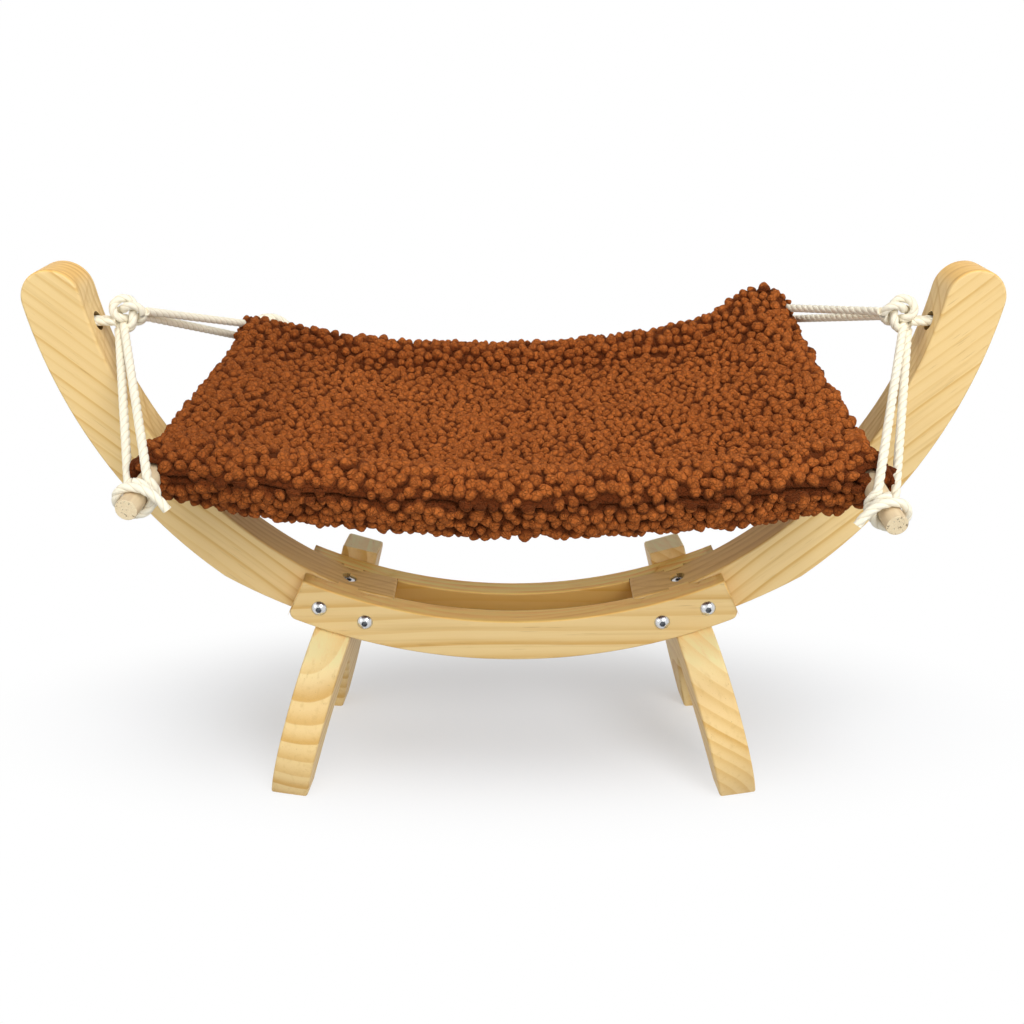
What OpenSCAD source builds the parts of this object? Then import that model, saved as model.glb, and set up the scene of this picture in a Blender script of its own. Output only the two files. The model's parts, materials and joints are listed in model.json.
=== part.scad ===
// Cat hammock: a crescent pine frame that carries a plush sling bed on two dowels and cotton ropes.
// Millimetres, +Z up, origin on the floor under the middle of the frame, +Y away from the front rail.

/* [Arms] */
// Radius of the inner edge of the arms
arm_inner_r = 300; // [285:1:315]
// Width of an arm board across its curve
arm_w = 41; // [37:1:45]
// Thickness of an arm board
arm_t = 35; // [31:1:40]
// Height above the floor to which the arms' inner curve would come down in the middle
arm_low_z = 120.5; // [115:0.5:126]
// Angle of the rounded tip below the centre of the curve
arm_tip_angle = 9.8; // [7:0.1:12]
// Distance of the arm's lower end from the middle of the frame
arm_end_x = 90; // [84:1:98]
// Height of the rope hole, which is also the height of the swing axis
rope_hole_z = 347.5; // [340:0.5:352]
// Diameter of the rope hole
rope_hole_d = 13; // [12.7:0.1:14]
// Diameter of the pocket that hides the stopper knot
pocket_d = 21; // [20:0.5:24]
// Depth of that pocket from the arm's outer edge
pocket_depth = 18; // [16:0.5:20]

/* [Rails] */
// Radius of the upper edge of the rails
rail_inner_r = 374; // [360:1:390]
// Width of a rail across its curve
rail_w = 32.5; // [30:0.5:36]
// Thickness of a rail
rail_t = 20; // [17:0.5:24]
// Half of the angle that a rail spans
rail_half_angle = 24.5; // [23.5:0.1:26]
// Rounding of the rail's lower corners
rail_corner_r = 6; // [4:0.5:10]
// Height of the underside of the rails in the middle
rail_low_z = 94.5; // [88:0.5:100]
// Depth of the housing in each rail that takes the arm's end
housing_depth = 4; // [2:0.5:6]
// Play between an arm and its housings
housing_play = 0.1; // [0.05:0.05:0.3]

/* [Legs] */
// Thickness of a leg board
leg_t = 28; // [24:1:32]
// Angle by which the legs lean inwards at the top
leg_splay = 14.75; // [13:0.25:16]
// Angle by which the legs turn outwards towards the front
leg_toe = 4.5; // [2:0.5:7]
// Distance of the leg's bolt line from the middle of the frame, at the floor
leg_foot_x = 164.5; // [160:0.5:169]
// Distance of the front foot's outer edge from that line, along the leg
leg_foot_y = 72; // [68:1:78]
// Depth of a foot where it stands on the floor
foot_depth = 20; // [16:1:26]
// Distance of the leg's front edge from the bolt line, where it meets the rails
leg_top_y = 20; // [16:1:24]
// Radius of the outer curve of the leg
leg_curve_r = 84; // [80:1:92]
// Radius of the two inner curves of the arch
arch_r = 150; // [120:5:180]
// Height at which these two curves would cross
arch_h = 84; // [76:1:88]
// Radius of the arch under the crown
leg_crown_r = 12; // [9:1:15]
// Rise of that arch past the inner curves of the leg
crown_rise = 0.5; // [0.3:0.1:1]
// Depth of the shoulder that stands behind the rear rail
shoulder_depth = 34; // [28:1:40]
// Top of that shoulder, measured along the leg
shoulder_top = 162; // [150:1:168]
// Rounding of the shoulder's rear corner
shoulder_r = 12; // [6:1:16]
// Play between the legs and the rails
leg_play = 0.1; // [0.05:0.05:0.3]

/* [Fasteners] */
// Diameter of the bolts
bolt_d = 6; // [5:0.5:7]
// Play of a bolt in its hole, on the diameter
bolt_play = 0.6; // [0.3:0.1:1]
// Distance of the inner rail bolt of one side from the leg's bolt, across the frame
inner_bolt_reach = 18.6; // [17.5:0.1:20]
// Distance of the outer rail bolt of one side from the leg's bolt
outer_bolt_reach = 14.8; // [14:0.1:16]
// Diameter of the button heads
button_d = 12; // [10:0.5:13]
// Height of the button heads
button_h = 3.6; // [2.5:0.1:4.5]
// Width across the flats of the hex sockets
socket_af = 4; // [3:0.5:4.5]
// Depth of the hex sockets
socket_depth = 2.2; // [1.6:0.1:2.6]
// Outer diameter of the barrel nuts
barrel_d = 9; // [8:0.5:10]
// Length of the barrel nuts
barrel_l = 12; // [10:0.5:14]
// Diameter of the cap heads of the leg bolts
cap_d = 10; // [9:0.5:10.5]
// Height of those cap heads
cap_h = 6; // [5:0.5:7]
// Depth of the pocket for a cap head
cap_pocket_depth = 8; // [7:0.5:10]
// Play of a head in its pocket, on the diameter
cap_play = 1; // [0.6:0.1:1.4]
// Outer diameter of the threaded inserts in the legs
insert_d = 10; // [9:0.5:11]
// Length of those inserts
insert_l = 15; // [12:0.5:17]
// Depth of the inserts below the saddle of the leg
insert_sink = 1; // [0.8:0.1:2]
// Play round the barrel nuts' heads in the legs' shoulders
head_play = 1; // [0.6:0.1:1.5]

/* [Sling] */
// Diameter of the dowels
dowel_d = 14; // [12:0.5:16]
// Length of the dowels
dowel_l = 330; // [326:1:340]
// Distance of the dowels' middle from the arm's inner edge at the rope hole
dowel_gap = 72.7; // [68:0.1:80]
// Drop of the middle of the left dowel below the swing axis
left_drop = 59.5; // [54:0.5:66]
// Drop of the middle of the right dowel below the swing axis
right_drop = 55.5; // [50:0.5:62]
// Tilt of the left dowel, rear end up
left_tilt = 5.7; // [0:0.1:8]
// Tilt of the right dowel, rear end up
right_tilt = 11; // [0:0.1:13]
// Angle by which the dowels draw together towards the rear
dowel_toe = 5; // [3:0.1:6]

/* [Bed] */
// Distance of the bed's edge from the ends of the dowels
bed_inset = 37; // [34:0.5:44]
// Bulge of the front and rear edges between the dowels
bed_bulge = 14; // [8:1:18]
// Reach of the sleeves beyond the middle of the dowels
sleeve_reach = 14; // [12.5:0.5:14]
// Pile thickness of the upper layer
upper_pile = 17; // [15:0.5:20]
// Pile thickness of the lower layer
lower_pile = 19; // [16:0.5:22]
// Height of the rolled rims above the upper layer
rim_h = 8; // [4:0.5:10]
// Height of the plush peak at the left rear corner
left_peak = 10; // [0:1:16]
// Height of the plush peak at the right rear corner
right_peak = 28; // [0:1:32]
// Sag of the front edge
front_sag = 14; // [8:1:22]
// Sag of the rear edge
rear_sag = 30; // [18:1:36]
// Extra sag of the middle of the bed
hollow = 10; // [4:1:16]
// Play of a dowel in its sleeve, on the diameter
sleeve_play = 0.6; // [0.4:0.1:1]
// Gap between the two layers
seam_gap = 0.2; // [0.1:0.05:0.4]

/* [Ropes] */
// Diameter of the rope
rope_d = 6; // [5.5:0.1:6.2]
// Play between the rope and what it lies on
rope_play = 0.2; // [0.1:0.05:0.3]
// Gap between the arm's inner edge and the middle of the knot
knot_reach = 21; // [19:0.5:24]
// Height of the knot above the swing axis
knot_rise = 5; // [0:0.5:7]
// Middle radius of the knot
knot_r = 7.5; // [7.4:0.1:9]
// Half of the knot's thickness at the middle of its rope
knot_lift = 3.6; // [3.5:0.1:4.5]
// Distance of the rope's turn from the dowel's end
turn_inset = 24; // [23.8:0.1:26]
// Distance of the first hitch turn from the dowel's end
hitch_inset = 17.4; // [16:0.1:17.6]
// Pitch of the hitch's turn
hitch_pitch = 6.8; // [6.6:0.1:7]
// Length of the loose tail of a hitch
tail_l = 26; // [16:1:30]
// Largest diameter of the stopper knot
stopper_d = 18; // [16:0.5:18.5]
// Length of the stopper knot
stopper_l = 15; // [12:0.5:16]

/* [Hidden] */
$fn = 96;

LEFT = -1;
RIGHT = 1;
FRONT = -1;
REAR = 1;
eps = 0.01;
wood = "burlywood";
dark_wood = "tan";
steel = "silver";
cotton = "ivory";
plush = "sienna";

arm_outer_r = arm_inner_r + arm_w;
arm_centre_z = arm_low_z + arm_inner_r;
arm_mid_r = arm_inner_r + arm_w / 2;
rail_outer_r = rail_inner_r + rail_w;
rail_mid_r = rail_inner_r + rail_w / 2;
rail_centre_z = rail_low_z + rail_outer_r;
rail_gap = arm_t - 2 * housing_depth;
rail_back_y = rail_gap / 2 + rail_t;
shoulder_y = rail_back_y + leg_play;
big = 2 * rail_outer_r;

// Points of the bolt line of a leg, which runs from the middle of the foot up into the arm
function leg_line(h) = [-leg_foot_x + h * sin(leg_splay), 0, h * cos(leg_splay)];
// Length along the bolt line at which it reaches a circle in the XZ plane, seen from inside it
function line_to_circle(cz, r) =
    let (a = [-leg_foot_x, -cz], d = [sin(leg_splay), cos(leg_splay)], b = a * d)
    -b - sqrt(b * b - a * a + r * r);
seat_h = line_to_circle(rail_centre_z, rail_outer_r);
flat_h = line_to_circle(arm_centre_z, arm_inner_r);
leg_bolt_x = -leg_line(line_to_circle(rail_centre_z, rail_mid_r))[0];
insert_low = seat_h - insert_sink - insert_l;
hole_in_x = sqrt(pow(arm_inner_r, 2) - pow(arm_centre_z - rope_hole_z, 2));
hole_out_x = sqrt(pow(arm_outer_r, 2) - pow(arm_centre_z - rope_hole_z, 2));
pocket_floor_x = hole_out_x - pocket_depth;
dowel_x = hole_in_x - dowel_gap;
// Centre of a curve of radius r that runs up from a to b and bulges to the left
function curve_centre(a, b, r) =
    let (half = norm(b - a) / 2, aim = [b[1] - a[1], a[0] - b[0]] / (2 * half))
    (a + b) / 2 + aim * sqrt(pow(r, 2) - pow(half, 2));
// The leg's outer curve runs from the foot to the rails' underside, and the arch's front curve to its point
leg_curve_at = curve_centre([-leg_foot_y, 0], [-leg_top_y, seat_h], leg_curve_r);
arch_at = curve_centre([foot_depth - leg_foot_y, 0], [leg_curve_at[0], arch_h], arch_r);
bolt_hole_d = bolt_d + bolt_play;
cap_pocket_d = cap_d + cap_play;

// Frame

module side(k) {
    if (k == LEFT) children();
    else mirror([1, 0, 0]) children();
}

// Turns a profile drawn in X and Z into a board of the given thickness, from y0 towards +Y
module board(y0, t) {
    translate([0, y0 + t, 0]) rotate([90, 0, 0]) linear_extrude(t) children();
}

module along_leg() {
    translate([-leg_foot_x, 0, 0]) rotate([0, leg_splay, 0]) children();
}

module ring_2d(cz, r_in, r_out) {
    translate([0, cz]) difference() {
        circle(r_out, $fn = 200);
        circle(r_in, $fn = 200);
    }
}

// The arm is a ring sector with a round tip; its lower end has a flat seat square to the leg's bolt
module arm_2d() {
    tip = [-arm_mid_r * cos(arm_tip_angle), arm_centre_z - arm_mid_r * sin(arm_tip_angle)];
    flat = [leg_line(flat_h)[0], leg_line(flat_h)[2]];
    along = [cos(leg_splay), -sin(leg_splay)];
    reach = (-arm_end_x - flat[0]) / along[0];
    intersection() {
        union() {
            difference() {
                ring_2d(arm_centre_z, arm_inner_r, arm_outer_r);
                translate([0, arm_centre_z]) rotate(arm_tip_angle) translate([-big, 0]) square(2 * big);
                translate(flat) rotate(-leg_splay) translate([reach, -big / 2]) square(big);
                translate([0, -big / 2]) square([big, 2 * big]);
            }
            translate(tip) circle(arm_w / 2);
            translate(flat) rotate(-leg_splay) translate([0, -big]) square([reach, big]);
        }
        translate([0, rail_centre_z]) circle(rail_outer_r, $fn = 200);
    }
}

module rail_bolt_places() {
    for (k = [LEFT, RIGHT], x = [leg_bolt_x - inner_bolt_reach, leg_bolt_x + outer_bolt_reach])
        translate([k * x, 0, rail_centre_z - sqrt(pow(rail_mid_r, 2) - pow(x, 2))])
            rotate([90, 0, 0]) children();
}

module arm(k) {
    color(wood) difference() {
        side(k) difference() {
            board(-arm_t / 2, arm_t) arm_2d();
            translate([-big, 0, rope_hole_z]) rotate([0, 90, 0]) cylinder(h = big, d = rope_hole_d);
            translate([-pocket_floor_x - big, 0, rope_hole_z]) rotate([0, 90, 0])
                cylinder(h = big, d = pocket_d);
            along_leg() cylinder(h = big, d = bolt_hole_d);
            along_leg() translate([0, 0, flat_h - cap_pocket_depth]) cylinder(h = big, d = cap_pocket_d);
        }
        rail_bolt_places() cylinder(h = big, d = bolt_hole_d, center = true);
    }
}

module rail_2d() {
    function out_at(k, r, a) = [k * r * sin(a), -r * cos(a)];
    module sector() {
        polygon([[0, 0], for (k = [LEFT, RIGHT]) out_at(k, big, rail_half_angle)]);
    }
    // Lower corner: the sharp piece between the corner's tangent points is taken off
    corner_r = rail_outer_r - rail_corner_r;
    turn = rail_half_angle - asin(rail_corner_r / corner_r);
    module corner(k) {
        middle = out_at(k, corner_r, turn);
        difference() {
            polygon([middle, out_at(k, corner_r * cos(rail_half_angle - turn), rail_half_angle),
                out_at(k, big, rail_half_angle), out_at(k, big, turn)]);
            translate(middle) circle(rail_corner_r);
        }
    }
    translate([0, rail_centre_z]) difference() {
        intersection() {
            difference() {
                circle(rail_outer_r, $fn = 200);
                circle(rail_inner_r, $fn = 200);
            }
            sector();
        }
        corner(LEFT);
        corner(RIGHT);
    }
}

module rail(k) {
    color(wood) difference() {
        board(k == FRONT ? -rail_back_y : rail_gap / 2, rail_t) rail_2d();
        for (s = [LEFT, RIGHT]) side(s)
            board(-arm_t / 2 - housing_play, arm_t + 2 * housing_play) arm_2d();
        rail_bolt_places() cylinder(h = big, d = bolt_hole_d, center = true);
        if (k == REAR) rail_bolt_places() translate([0, 0, -rail_back_y]) cylinder(
            h = barrel_l + bolt_play, d = barrel_d + bolt_play);
    }
}

// The leg is a round arch with a saddle under the rails; a shoulder runs up behind the rear rail.
// The outline goes on below the floor, which then cuts the feet level.
module leg_2d() {
    below = -leg_curve_r;
    corner = [shoulder_y + shoulder_depth - shoulder_r, shoulder_top - shoulder_r];
    // The shoulder's rear edge runs down on to the outer curve
    rise = corner - leg_curve_at;
    lean = atan2(rise[1], rise[0]) - acos((leg_curve_r - shoulder_r) / norm(rise));
    out = [cos(lean), sin(lean)];
    apart = arch_at[0] - leg_curve_at[0];
    crown_z = arch_at[1] + sqrt(pow(arch_r - leg_crown_r, 2) - pow(apart, 2));
    crown_touch = crown_z + (crown_z - arch_at[1]) * leg_crown_r / (arch_r - leg_crown_r);
    difference() {
        union() {
            translate(leg_curve_at) circle(leg_curve_r, $fn = 200);
            polygon([leg_curve_at, leg_curve_at + leg_curve_r * out, corner + shoulder_r * out,
                [corner[0], shoulder_top], [leg_curve_at[0], shoulder_top]]);
            translate(corner) circle(shoulder_r);
        }
        // The inner curves of the two halves mirror each other about the middle of the arch
        intersection_for (e = [FRONT, REAR]) intersection() {
            translate([leg_curve_at[0] - e * apart, arch_at[1]]) circle(arch_r, $fn = 200);
            translate([2 * below, below]) square([-4 * below, crown_touch - below]);
        }
        translate([leg_curve_at[0], crown_z + crown_rise]) circle(leg_crown_r);
    }
}

module leg(k) {
    color(wood) side(k) difference() {
        along_leg() rotate([0, 0, -leg_toe]) rotate([90, 0, 90])
            translate([0, 0, -leg_t / 2]) linear_extrude(leg_t) leg_2d();
        translate([-big, -big / 2, -big]) cube(big);
        translate([0, shoulder_y, rail_centre_z]) rotate([90, 0, 0])
            cylinder(h = big, r = rail_outer_r + leg_play, $fn = 200);
        along_leg() translate([0, 0, insert_low - bolt_d]) cylinder(h = big, d = bolt_hole_d);
        along_leg() translate([0, 0, insert_low]) cylinder(h = big, d = insert_d);
        rail_bolt_places() translate([0, 0, -rail_back_y - button_h - head_play])
            cylinder(h = big, d = button_d + 2 * head_play);
    }
}

// Fasteners

module socket_cut(top) {
    translate([0, 0, top - socket_depth]) cylinder(h = button_h, d = socket_af / cos(30), $fn = 6);
}

// A button head is a cap of a sphere that stands on the plane z = 0
module button_head() {
    r = (pow(button_d / 2, 2) + pow(button_h, 2)) / (2 * button_h);
    intersection() {
        translate([0, 0, button_h - r]) sphere(r);
        cylinder(h = button_h, d = button_d);
    }
}

module rail_bolts() {
    color(steel) rail_bolt_places() difference() {
        union() {
            translate([0, 0, rail_back_y]) button_head();
            translate([0, 0, -rail_back_y + barrel_l / 2]) cylinder(
                h = 2 * rail_back_y - barrel_l / 2 + eps, d = bolt_d);
        }
        socket_cut(rail_back_y + button_h);
    }
}

module rail_barrel_nuts() {
    color(steel) rail_bolt_places() mirror([0, 0, 1]) difference() {
        union() {
            translate([0, 0, rail_back_y]) button_head();
            translate([0, 0, rail_back_y - barrel_l]) cylinder(h = barrel_l + eps, d = barrel_d);
        }
        translate([0, 0, rail_back_y - barrel_l - eps]) cylinder(h = barrel_l, d = bolt_d);
        socket_cut(rail_back_y + button_h);
    }
}

module leg_bolts() {
    head_h = flat_h - cap_pocket_depth;
    color(steel) for (k = [LEFT, RIGHT]) side(k) along_leg() difference() {
        union() {
            translate([0, 0, head_h]) cylinder(h = cap_h, d = cap_d);
            translate([0, 0, insert_low]) cylinder(h = head_h - insert_low + eps, d = bolt_d);
        }
        socket_cut(head_h + cap_h);
    }
}

module leg_inserts() {
    color(steel) for (k = [LEFT, RIGHT]) side(k) along_leg() translate([0, 0, insert_low]) difference() {
        cylinder(h = insert_l, d = insert_d);
        translate([0, 0, -eps]) cylinder(h = insert_l + 2 * eps, d = bolt_d);
    }
}

// Sling: dowels, bed and ropes

function drop(k) = k == LEFT ? left_drop : right_drop;
function tilt(k) = k == LEFT ? left_tilt : right_tilt;
function dowel_axis(k) =
    [-k * sin(dowel_toe) * cos(tilt(k)), cos(dowel_toe) * cos(tilt(k)), sin(tilt(k))];
function dowel_middle(k) = [k * dowel_x, 0, rope_hole_z - drop(k)];
function dowel_point(k, s) = dowel_middle(k) + s * dowel_axis(k);

module along_dowel(k, s) {
    translate(dowel_point(k, s)) rotate([-90 + tilt(k), 0, k * dowel_toe]) children();
}

module dowel(k) {
    color(dark_wood) along_dowel(k, -dowel_l / 2) cylinder(h = dowel_l, d = dowel_d);
}

// The bed is a double sheet; its middle surface runs through the axes of the dowels.
// u goes from -1 at the left sleeve's edge to 1 at the right one, v from -1 in front to 1 at the rear.
bed_cols = 30;
bed_rows = 14;
bed_half_x = dowel_x + sleeve_reach;
bed_depth = dowel_l - 2 * bed_inset;
bed_edge = 1.5;
rim_place = 0.84;
rim_width = 0.1;
side_power = 6;
front_power = 8;
edge_bunch = 0.5;
groove_d = rope_d + 4 * rope_play;
function dome(a, n) = pow(max(0, 1 - pow(abs(a), n)), 1 / n);
function span(u) = max(0, 1 - pow(u * bed_half_x / dowel_x, 2));
function bed_middle(u, v) =
    let (s = v * (bed_depth / 2 + bed_bulge * span(u)),
         w = (1 + u * bed_half_x / dowel_x) / 2,
         p = between(dowel_point(LEFT, s), dowel_point(RIGHT, s), w),
         sag = front_sag + (rear_sag - front_sag) * (v + 1) / 2 + hollow * (1 - v * v))
    p - [0, 0, sag * span(u)];
function rim(v) = exp(-pow((abs(v) - rim_place) / rim_width, 2));
// The rear corners stand up in soft peaks
peak_place = [0.86, 0.84];
peak_width = [0.16, 0.22];
function peak(u, v) = (u < 0 ? left_peak : right_peak)
    * exp(-pow((abs(u) - peak_place[0]) / peak_width[0], 2)
        - pow((v - peak_place[1]) / peak_width[1], 2));
function bed_puff(u, v, up) =
    bed_edge + dome(u, side_power) * dome(v, front_power)
        * (up > 0 ? upper_pile + rim_h * rim(v) + peak(u, v) - bed_edge : lower_pile - bed_edge);
// Parameters bunch up towards the edges, where the sheet turns over
function bunch(a) = edge_bunch * sin(90 * a) + (1 - edge_bunch) * a;

module bed_layer(up) {
    n = bed_cols + 1;
    m = bed_rows + 1;
    us = [for (i = [0 : bed_cols]) bunch(2 * i / bed_cols - 1)];
    vs = [for (j = [0 : bed_rows]) bunch(2 * j / bed_rows - 1)];
    inner = [for (u = us, v = vs) bed_middle(u, v) + [0, 0, up * seam_gap / 2]];
    outer = [for (u = us, v = vs) bed_middle(u, v) + [0, 0, up * bed_puff(u, v, up)]];
    upper = up > 0 ? outer : inner;
    lower = up > 0 ? inner : outer;
    k = n * m;
    cells = [for (i = [0 : n - 2], j = [0 : m - 2]) let (a = i * m + j, b = a + m, c = b + 1, d = a + 1)
        each [[a, d, c], [a, c, b], [k + a, k + c, k + d], [k + a, k + b, k + c]]];
    ends = [for (j = [0 : m - 2], e = [0, n - 1]) let (a = e * m + j, b = a + 1)
        each e == 0 ? [[a, k + a, k + b], [a, k + b, b]] : [[a, k + b, k + a], [a, b, k + b]]];
    edges = [for (i = [0 : n - 2], e = [0, m - 1]) let (a = i * m + e, b = a + m)
        each e == 0 ? [[a, b, k + b], [a, k + b, k + a]] : [[a, k + b, b], [a, k + a, k + b]]];
    difference() {
        polyhedron(points = concat(upper, lower), faces = concat(cells, ends, edges));
        for (s = [LEFT, RIGHT]) along_dowel(s, -dowel_l)
            cylinder(h = 2 * dowel_l, d = dowel_d + sleeve_play);
        // The taut ropes press grooves into the plush beside the dowels' ends
        for (s = [LEFT, RIGHT], e = [FRONT, REAR])
            open_rope(rope_path(s, e), dowel_axis(s), groove_d);
    }
}

module bed_upper_layer() {
    color(plush) bed_layer(1);
}

module bed_lower_layer() {
    color(plush) bed_layer(-1);
}

// A rope is a tube of six sides swept along points; each ring is turned to a reference direction
rope_sides = 6;
function unit(v) = v / norm(v);
function between(a, b, w) = (1 - w) * a + w * b;
function ring(c, t, ref, r) =
    let (n1 = unit(ref - (ref * t) * t), n2 = cross(t, n1))
    [for (j = [0 : rope_sides - 1]) let (a = 360 * j / rope_sides) c + r * (cos(a) * n1 + sin(a) * n2)];
function tube_faces(n, closed) =
    let (m = rope_sides)
    concat([for (i = [0 : n - (closed ? 1 : 2)], j = [0 : m - 1])
            let (next = (i + 1) % n, a = i * m + j, b = i * m + (j + 1) % m,
                 c = next * m + (j + 1) % m, d = next * m + j)
            each [[a, d, c], [a, c, b]]],
        closed ? [] : [for (j = [1 : m - 2]) each
            [[0, j, j + 1], [(n - 1) * m, (n - 1) * m + j + 1, (n - 1) * m + j]]]);
function tangent(p, i) = unit(p[min(i + 1, len(p) - 1)] - p[max(i - 1, 0)]);

module open_rope(p, ref, d = rope_d) {
    polyhedron(points = [for (i = [0 : len(p) - 1]) each ring(p[i], tangent(p, i), ref, d / 2)],
        faces = tube_faces(len(p), false));
}

// Least distance between points of a rope that lie further apart than a given count of rings
function rope_gap(p, skip, closed) =
    min([for (i = [0 : len(p) - 1], j = [i + skip : len(p) - 1])
        if (!closed || i + len(p) - j >= skip) norm(p[i] - p[j])]) - rope_d;

// The big knot by an arm is a trefoil that lies on a ring; the right one mirrors the left one
knot_rings = 72;
function knot_place(k) = [k * (hole_in_x - knot_reach), 0, rope_hole_z + knot_rise];
function trefoil(a) = let (q = knot_r + knot_lift * cos(3 * a))
    knot_place(LEFT) + [q * cos(2 * a), -knot_lift * sin(3 * a), q * sin(2 * a)];
function trefoil_normal(a) = [cos(3 * a) * cos(2 * a), -sin(3 * a), cos(3 * a) * sin(2 * a)];

module knot(k) {
    step = 360 / knot_rings;
    angles = [for (i = [0 : knot_rings - 1]) i * step];
    p = [for (a = angles) trefoil(a)];
    echo(str("gap of the knot's rope to itself: ", rope_gap(p, 12, true)));
    rings = [for (a = angles) each ring(trefoil(a), unit(trefoil(a + step) - trefoil(a - step)),
        trefoil_normal(a), rope_d / 2)];
    color(cotton) side(k) polyhedron(points = rings, faces = tube_faces(knot_rings, true));
}

// Two strands pass from the stopper through the arm's hole to the knot
strand_gap = rope_play / 2;
module arm_loop(k) {
    x0 = pocket_floor_x + 2 * rope_play;
    x1 = hole_in_x - knot_reach + knot_r;
    color(cotton) side(k) for (s = [-1, 1])
        translate([-x0, s * (rope_d / 2 + strand_gap / 2), rope_hole_z]) rotate([0, 90, 0])
            cylinder(h = x0 - x1, d = rope_d);
}

module stopper(k) {
    color(cotton) side(k) translate([-pocket_floor_x - 2 * rope_play, 0, rope_hole_z]) rotate([0, -90, 0])
        intersection() {
            translate([0, 0, stopper_l / 2]) sphere(d = stopper_d);
            cylinder(h = stopper_l, d = stopper_d);
        }
}

// A rope runs from the knot to the dowel, turns round it and comes back
turn_r = dowel_d / 2 + rope_d / 2 + rope_play;
strand_rings = 7;
turn_rings = 14;
function turn_place(k, e) = dowel_point(k, e * (dowel_l / 2 - turn_inset));
// The front rope leaves the knot at its lower lobe and the rear rope at its inner lobe
knot_lobe = knot_r + knot_lift;
function knot_exit(k, e) = knot_place(k)
    + (e == FRONT ? [k * knot_lobe / 2, 0, -knot_lobe * sin(60)] : [-k * knot_lobe, 0, 0]);
function rope_path(k, e) =
    let (t = turn_place(k, e), a = dowel_axis(k), v = knot_exit(k, e) - t, along = (v * a) * a,
         x = unit(v - along), y = cross(a, x), d = norm(v - along), half = acos(turn_r / d),
         fan = rope_d / 2 + strand_gap,
         ends = [for (s = [1, -1]) knot_exit(k, e) + s * fan * y],
         round_at = function (f) turn_r * (cos(f) * x + sin(f) * y) + t,
         out = [for (i = [0 : strand_rings - 1]) between(ends[0], round_at(half), i / strand_rings)],
         turn = [for (i = [0 : turn_rings]) round_at(half + (360 - 2 * half) * i / turn_rings)],
         back = [for (i = [1 : strand_rings]) between(round_at(-half), ends[1], i / strand_rings)])
    concat(out, turn, back);

module rope(k, e) {
    color(cotton) open_rope(rope_path(k, e), dowel_axis(k));
}

// A hitch winds round the dowel beyond the rope's turn and ends in a loose tail
hitch_rings = 24;
tail_rings = 4;
tail_lean = 35;
function hitch_path(k, e) =
    let (a = dowel_axis(k), x = [-k, 0, 0], y = -k * cross(a, x), s0 = e * (dowel_l / 2 - hitch_inset),
         at = function (w) dowel_point(k, s0 + e * hitch_pitch * w)
             + turn_r * (sin(360 * w) * x - cos(360 * w) * y),
         wound = [for (i = [0 : hitch_rings]) at(i / hitch_rings)],
         last = wound[hitch_rings],
         lead = unit(last - wound[hitch_rings - 1]),
         fall = unit(cos(tail_lean) * lead - [0, 0, sin(tail_lean)]),
         tail = [for (i = [1 : tail_rings]) let (w = i / tail_rings)
             last + tail_l * w * between(lead, fall, w)])
    concat(wound, tail);

module hitch(k, e) {
    p = hitch_path(k, e);
    echo(str("gap of the hitch's rope to itself: ", rope_gap(p, 16, false)));
    color(cotton) open_rope(p, dowel_axis(k));
}

arm(LEFT);  // left_arm
arm(RIGHT);  // right_arm
rail(FRONT);  // front_rail
rail(REAR);  // rear_rail
leg(LEFT);  // left_leg
leg(RIGHT);  // right_leg
rail_bolts();
rail_barrel_nuts();
leg_bolts();
leg_inserts();
dowel(LEFT);  // left_dowel
dowel(RIGHT);  // right_dowel
bed_upper_layer();
bed_lower_layer();
knot(LEFT);  // left_knot
knot(RIGHT);  // right_knot
arm_loop(LEFT);  // left_arm_loop
arm_loop(RIGHT);  // right_arm_loop
stopper(LEFT);  // left_stopper
stopper(RIGHT);  // right_stopper
rope(LEFT, FRONT);  // left_front_rope
rope(LEFT, REAR);  // left_rear_rope
rope(RIGHT, FRONT);  // right_front_rope
rope(RIGHT, REAR);  // right_rear_rope
hitch(LEFT, FRONT);  // left_front_hitch
hitch(LEFT, REAR);  // left_rear_hitch
hitch(RIGHT, FRONT);  // right_front_hitch
hitch(RIGHT, REAR);  // right_rear_hitch
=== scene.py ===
"""Finishes a cat hammock round its fixed frame: pine boards, zinc bolts, cotton rope and a plush bed."""

import json
import math
import random

import bmesh
import bpy
import numpy as np
from bpy.props import FloatProperty, FloatVectorProperty, IntProperty, PointerProperty
from mathutils import Matrix, Vector
from mathutils.bvhtree import BVHTree
from mathutils.geometry import tessellate_polygon


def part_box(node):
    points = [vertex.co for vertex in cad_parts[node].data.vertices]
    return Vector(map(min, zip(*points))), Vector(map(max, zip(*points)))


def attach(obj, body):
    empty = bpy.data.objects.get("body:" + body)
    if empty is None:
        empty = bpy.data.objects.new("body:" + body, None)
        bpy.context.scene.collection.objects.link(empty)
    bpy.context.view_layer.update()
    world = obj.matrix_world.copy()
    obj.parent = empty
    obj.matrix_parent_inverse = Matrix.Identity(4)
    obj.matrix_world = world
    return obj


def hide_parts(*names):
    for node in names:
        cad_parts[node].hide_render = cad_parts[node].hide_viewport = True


bl_info = {
    "name": "Cat hammock",
    "version": (1, 0, 0),
    "blender": (4, 5, 0),
    "location": "View3D > Sidebar > Hammock",
    "description": "Builds the finishes of a cat hammock round its fixed frame",
    "category": "Object",
}

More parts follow.
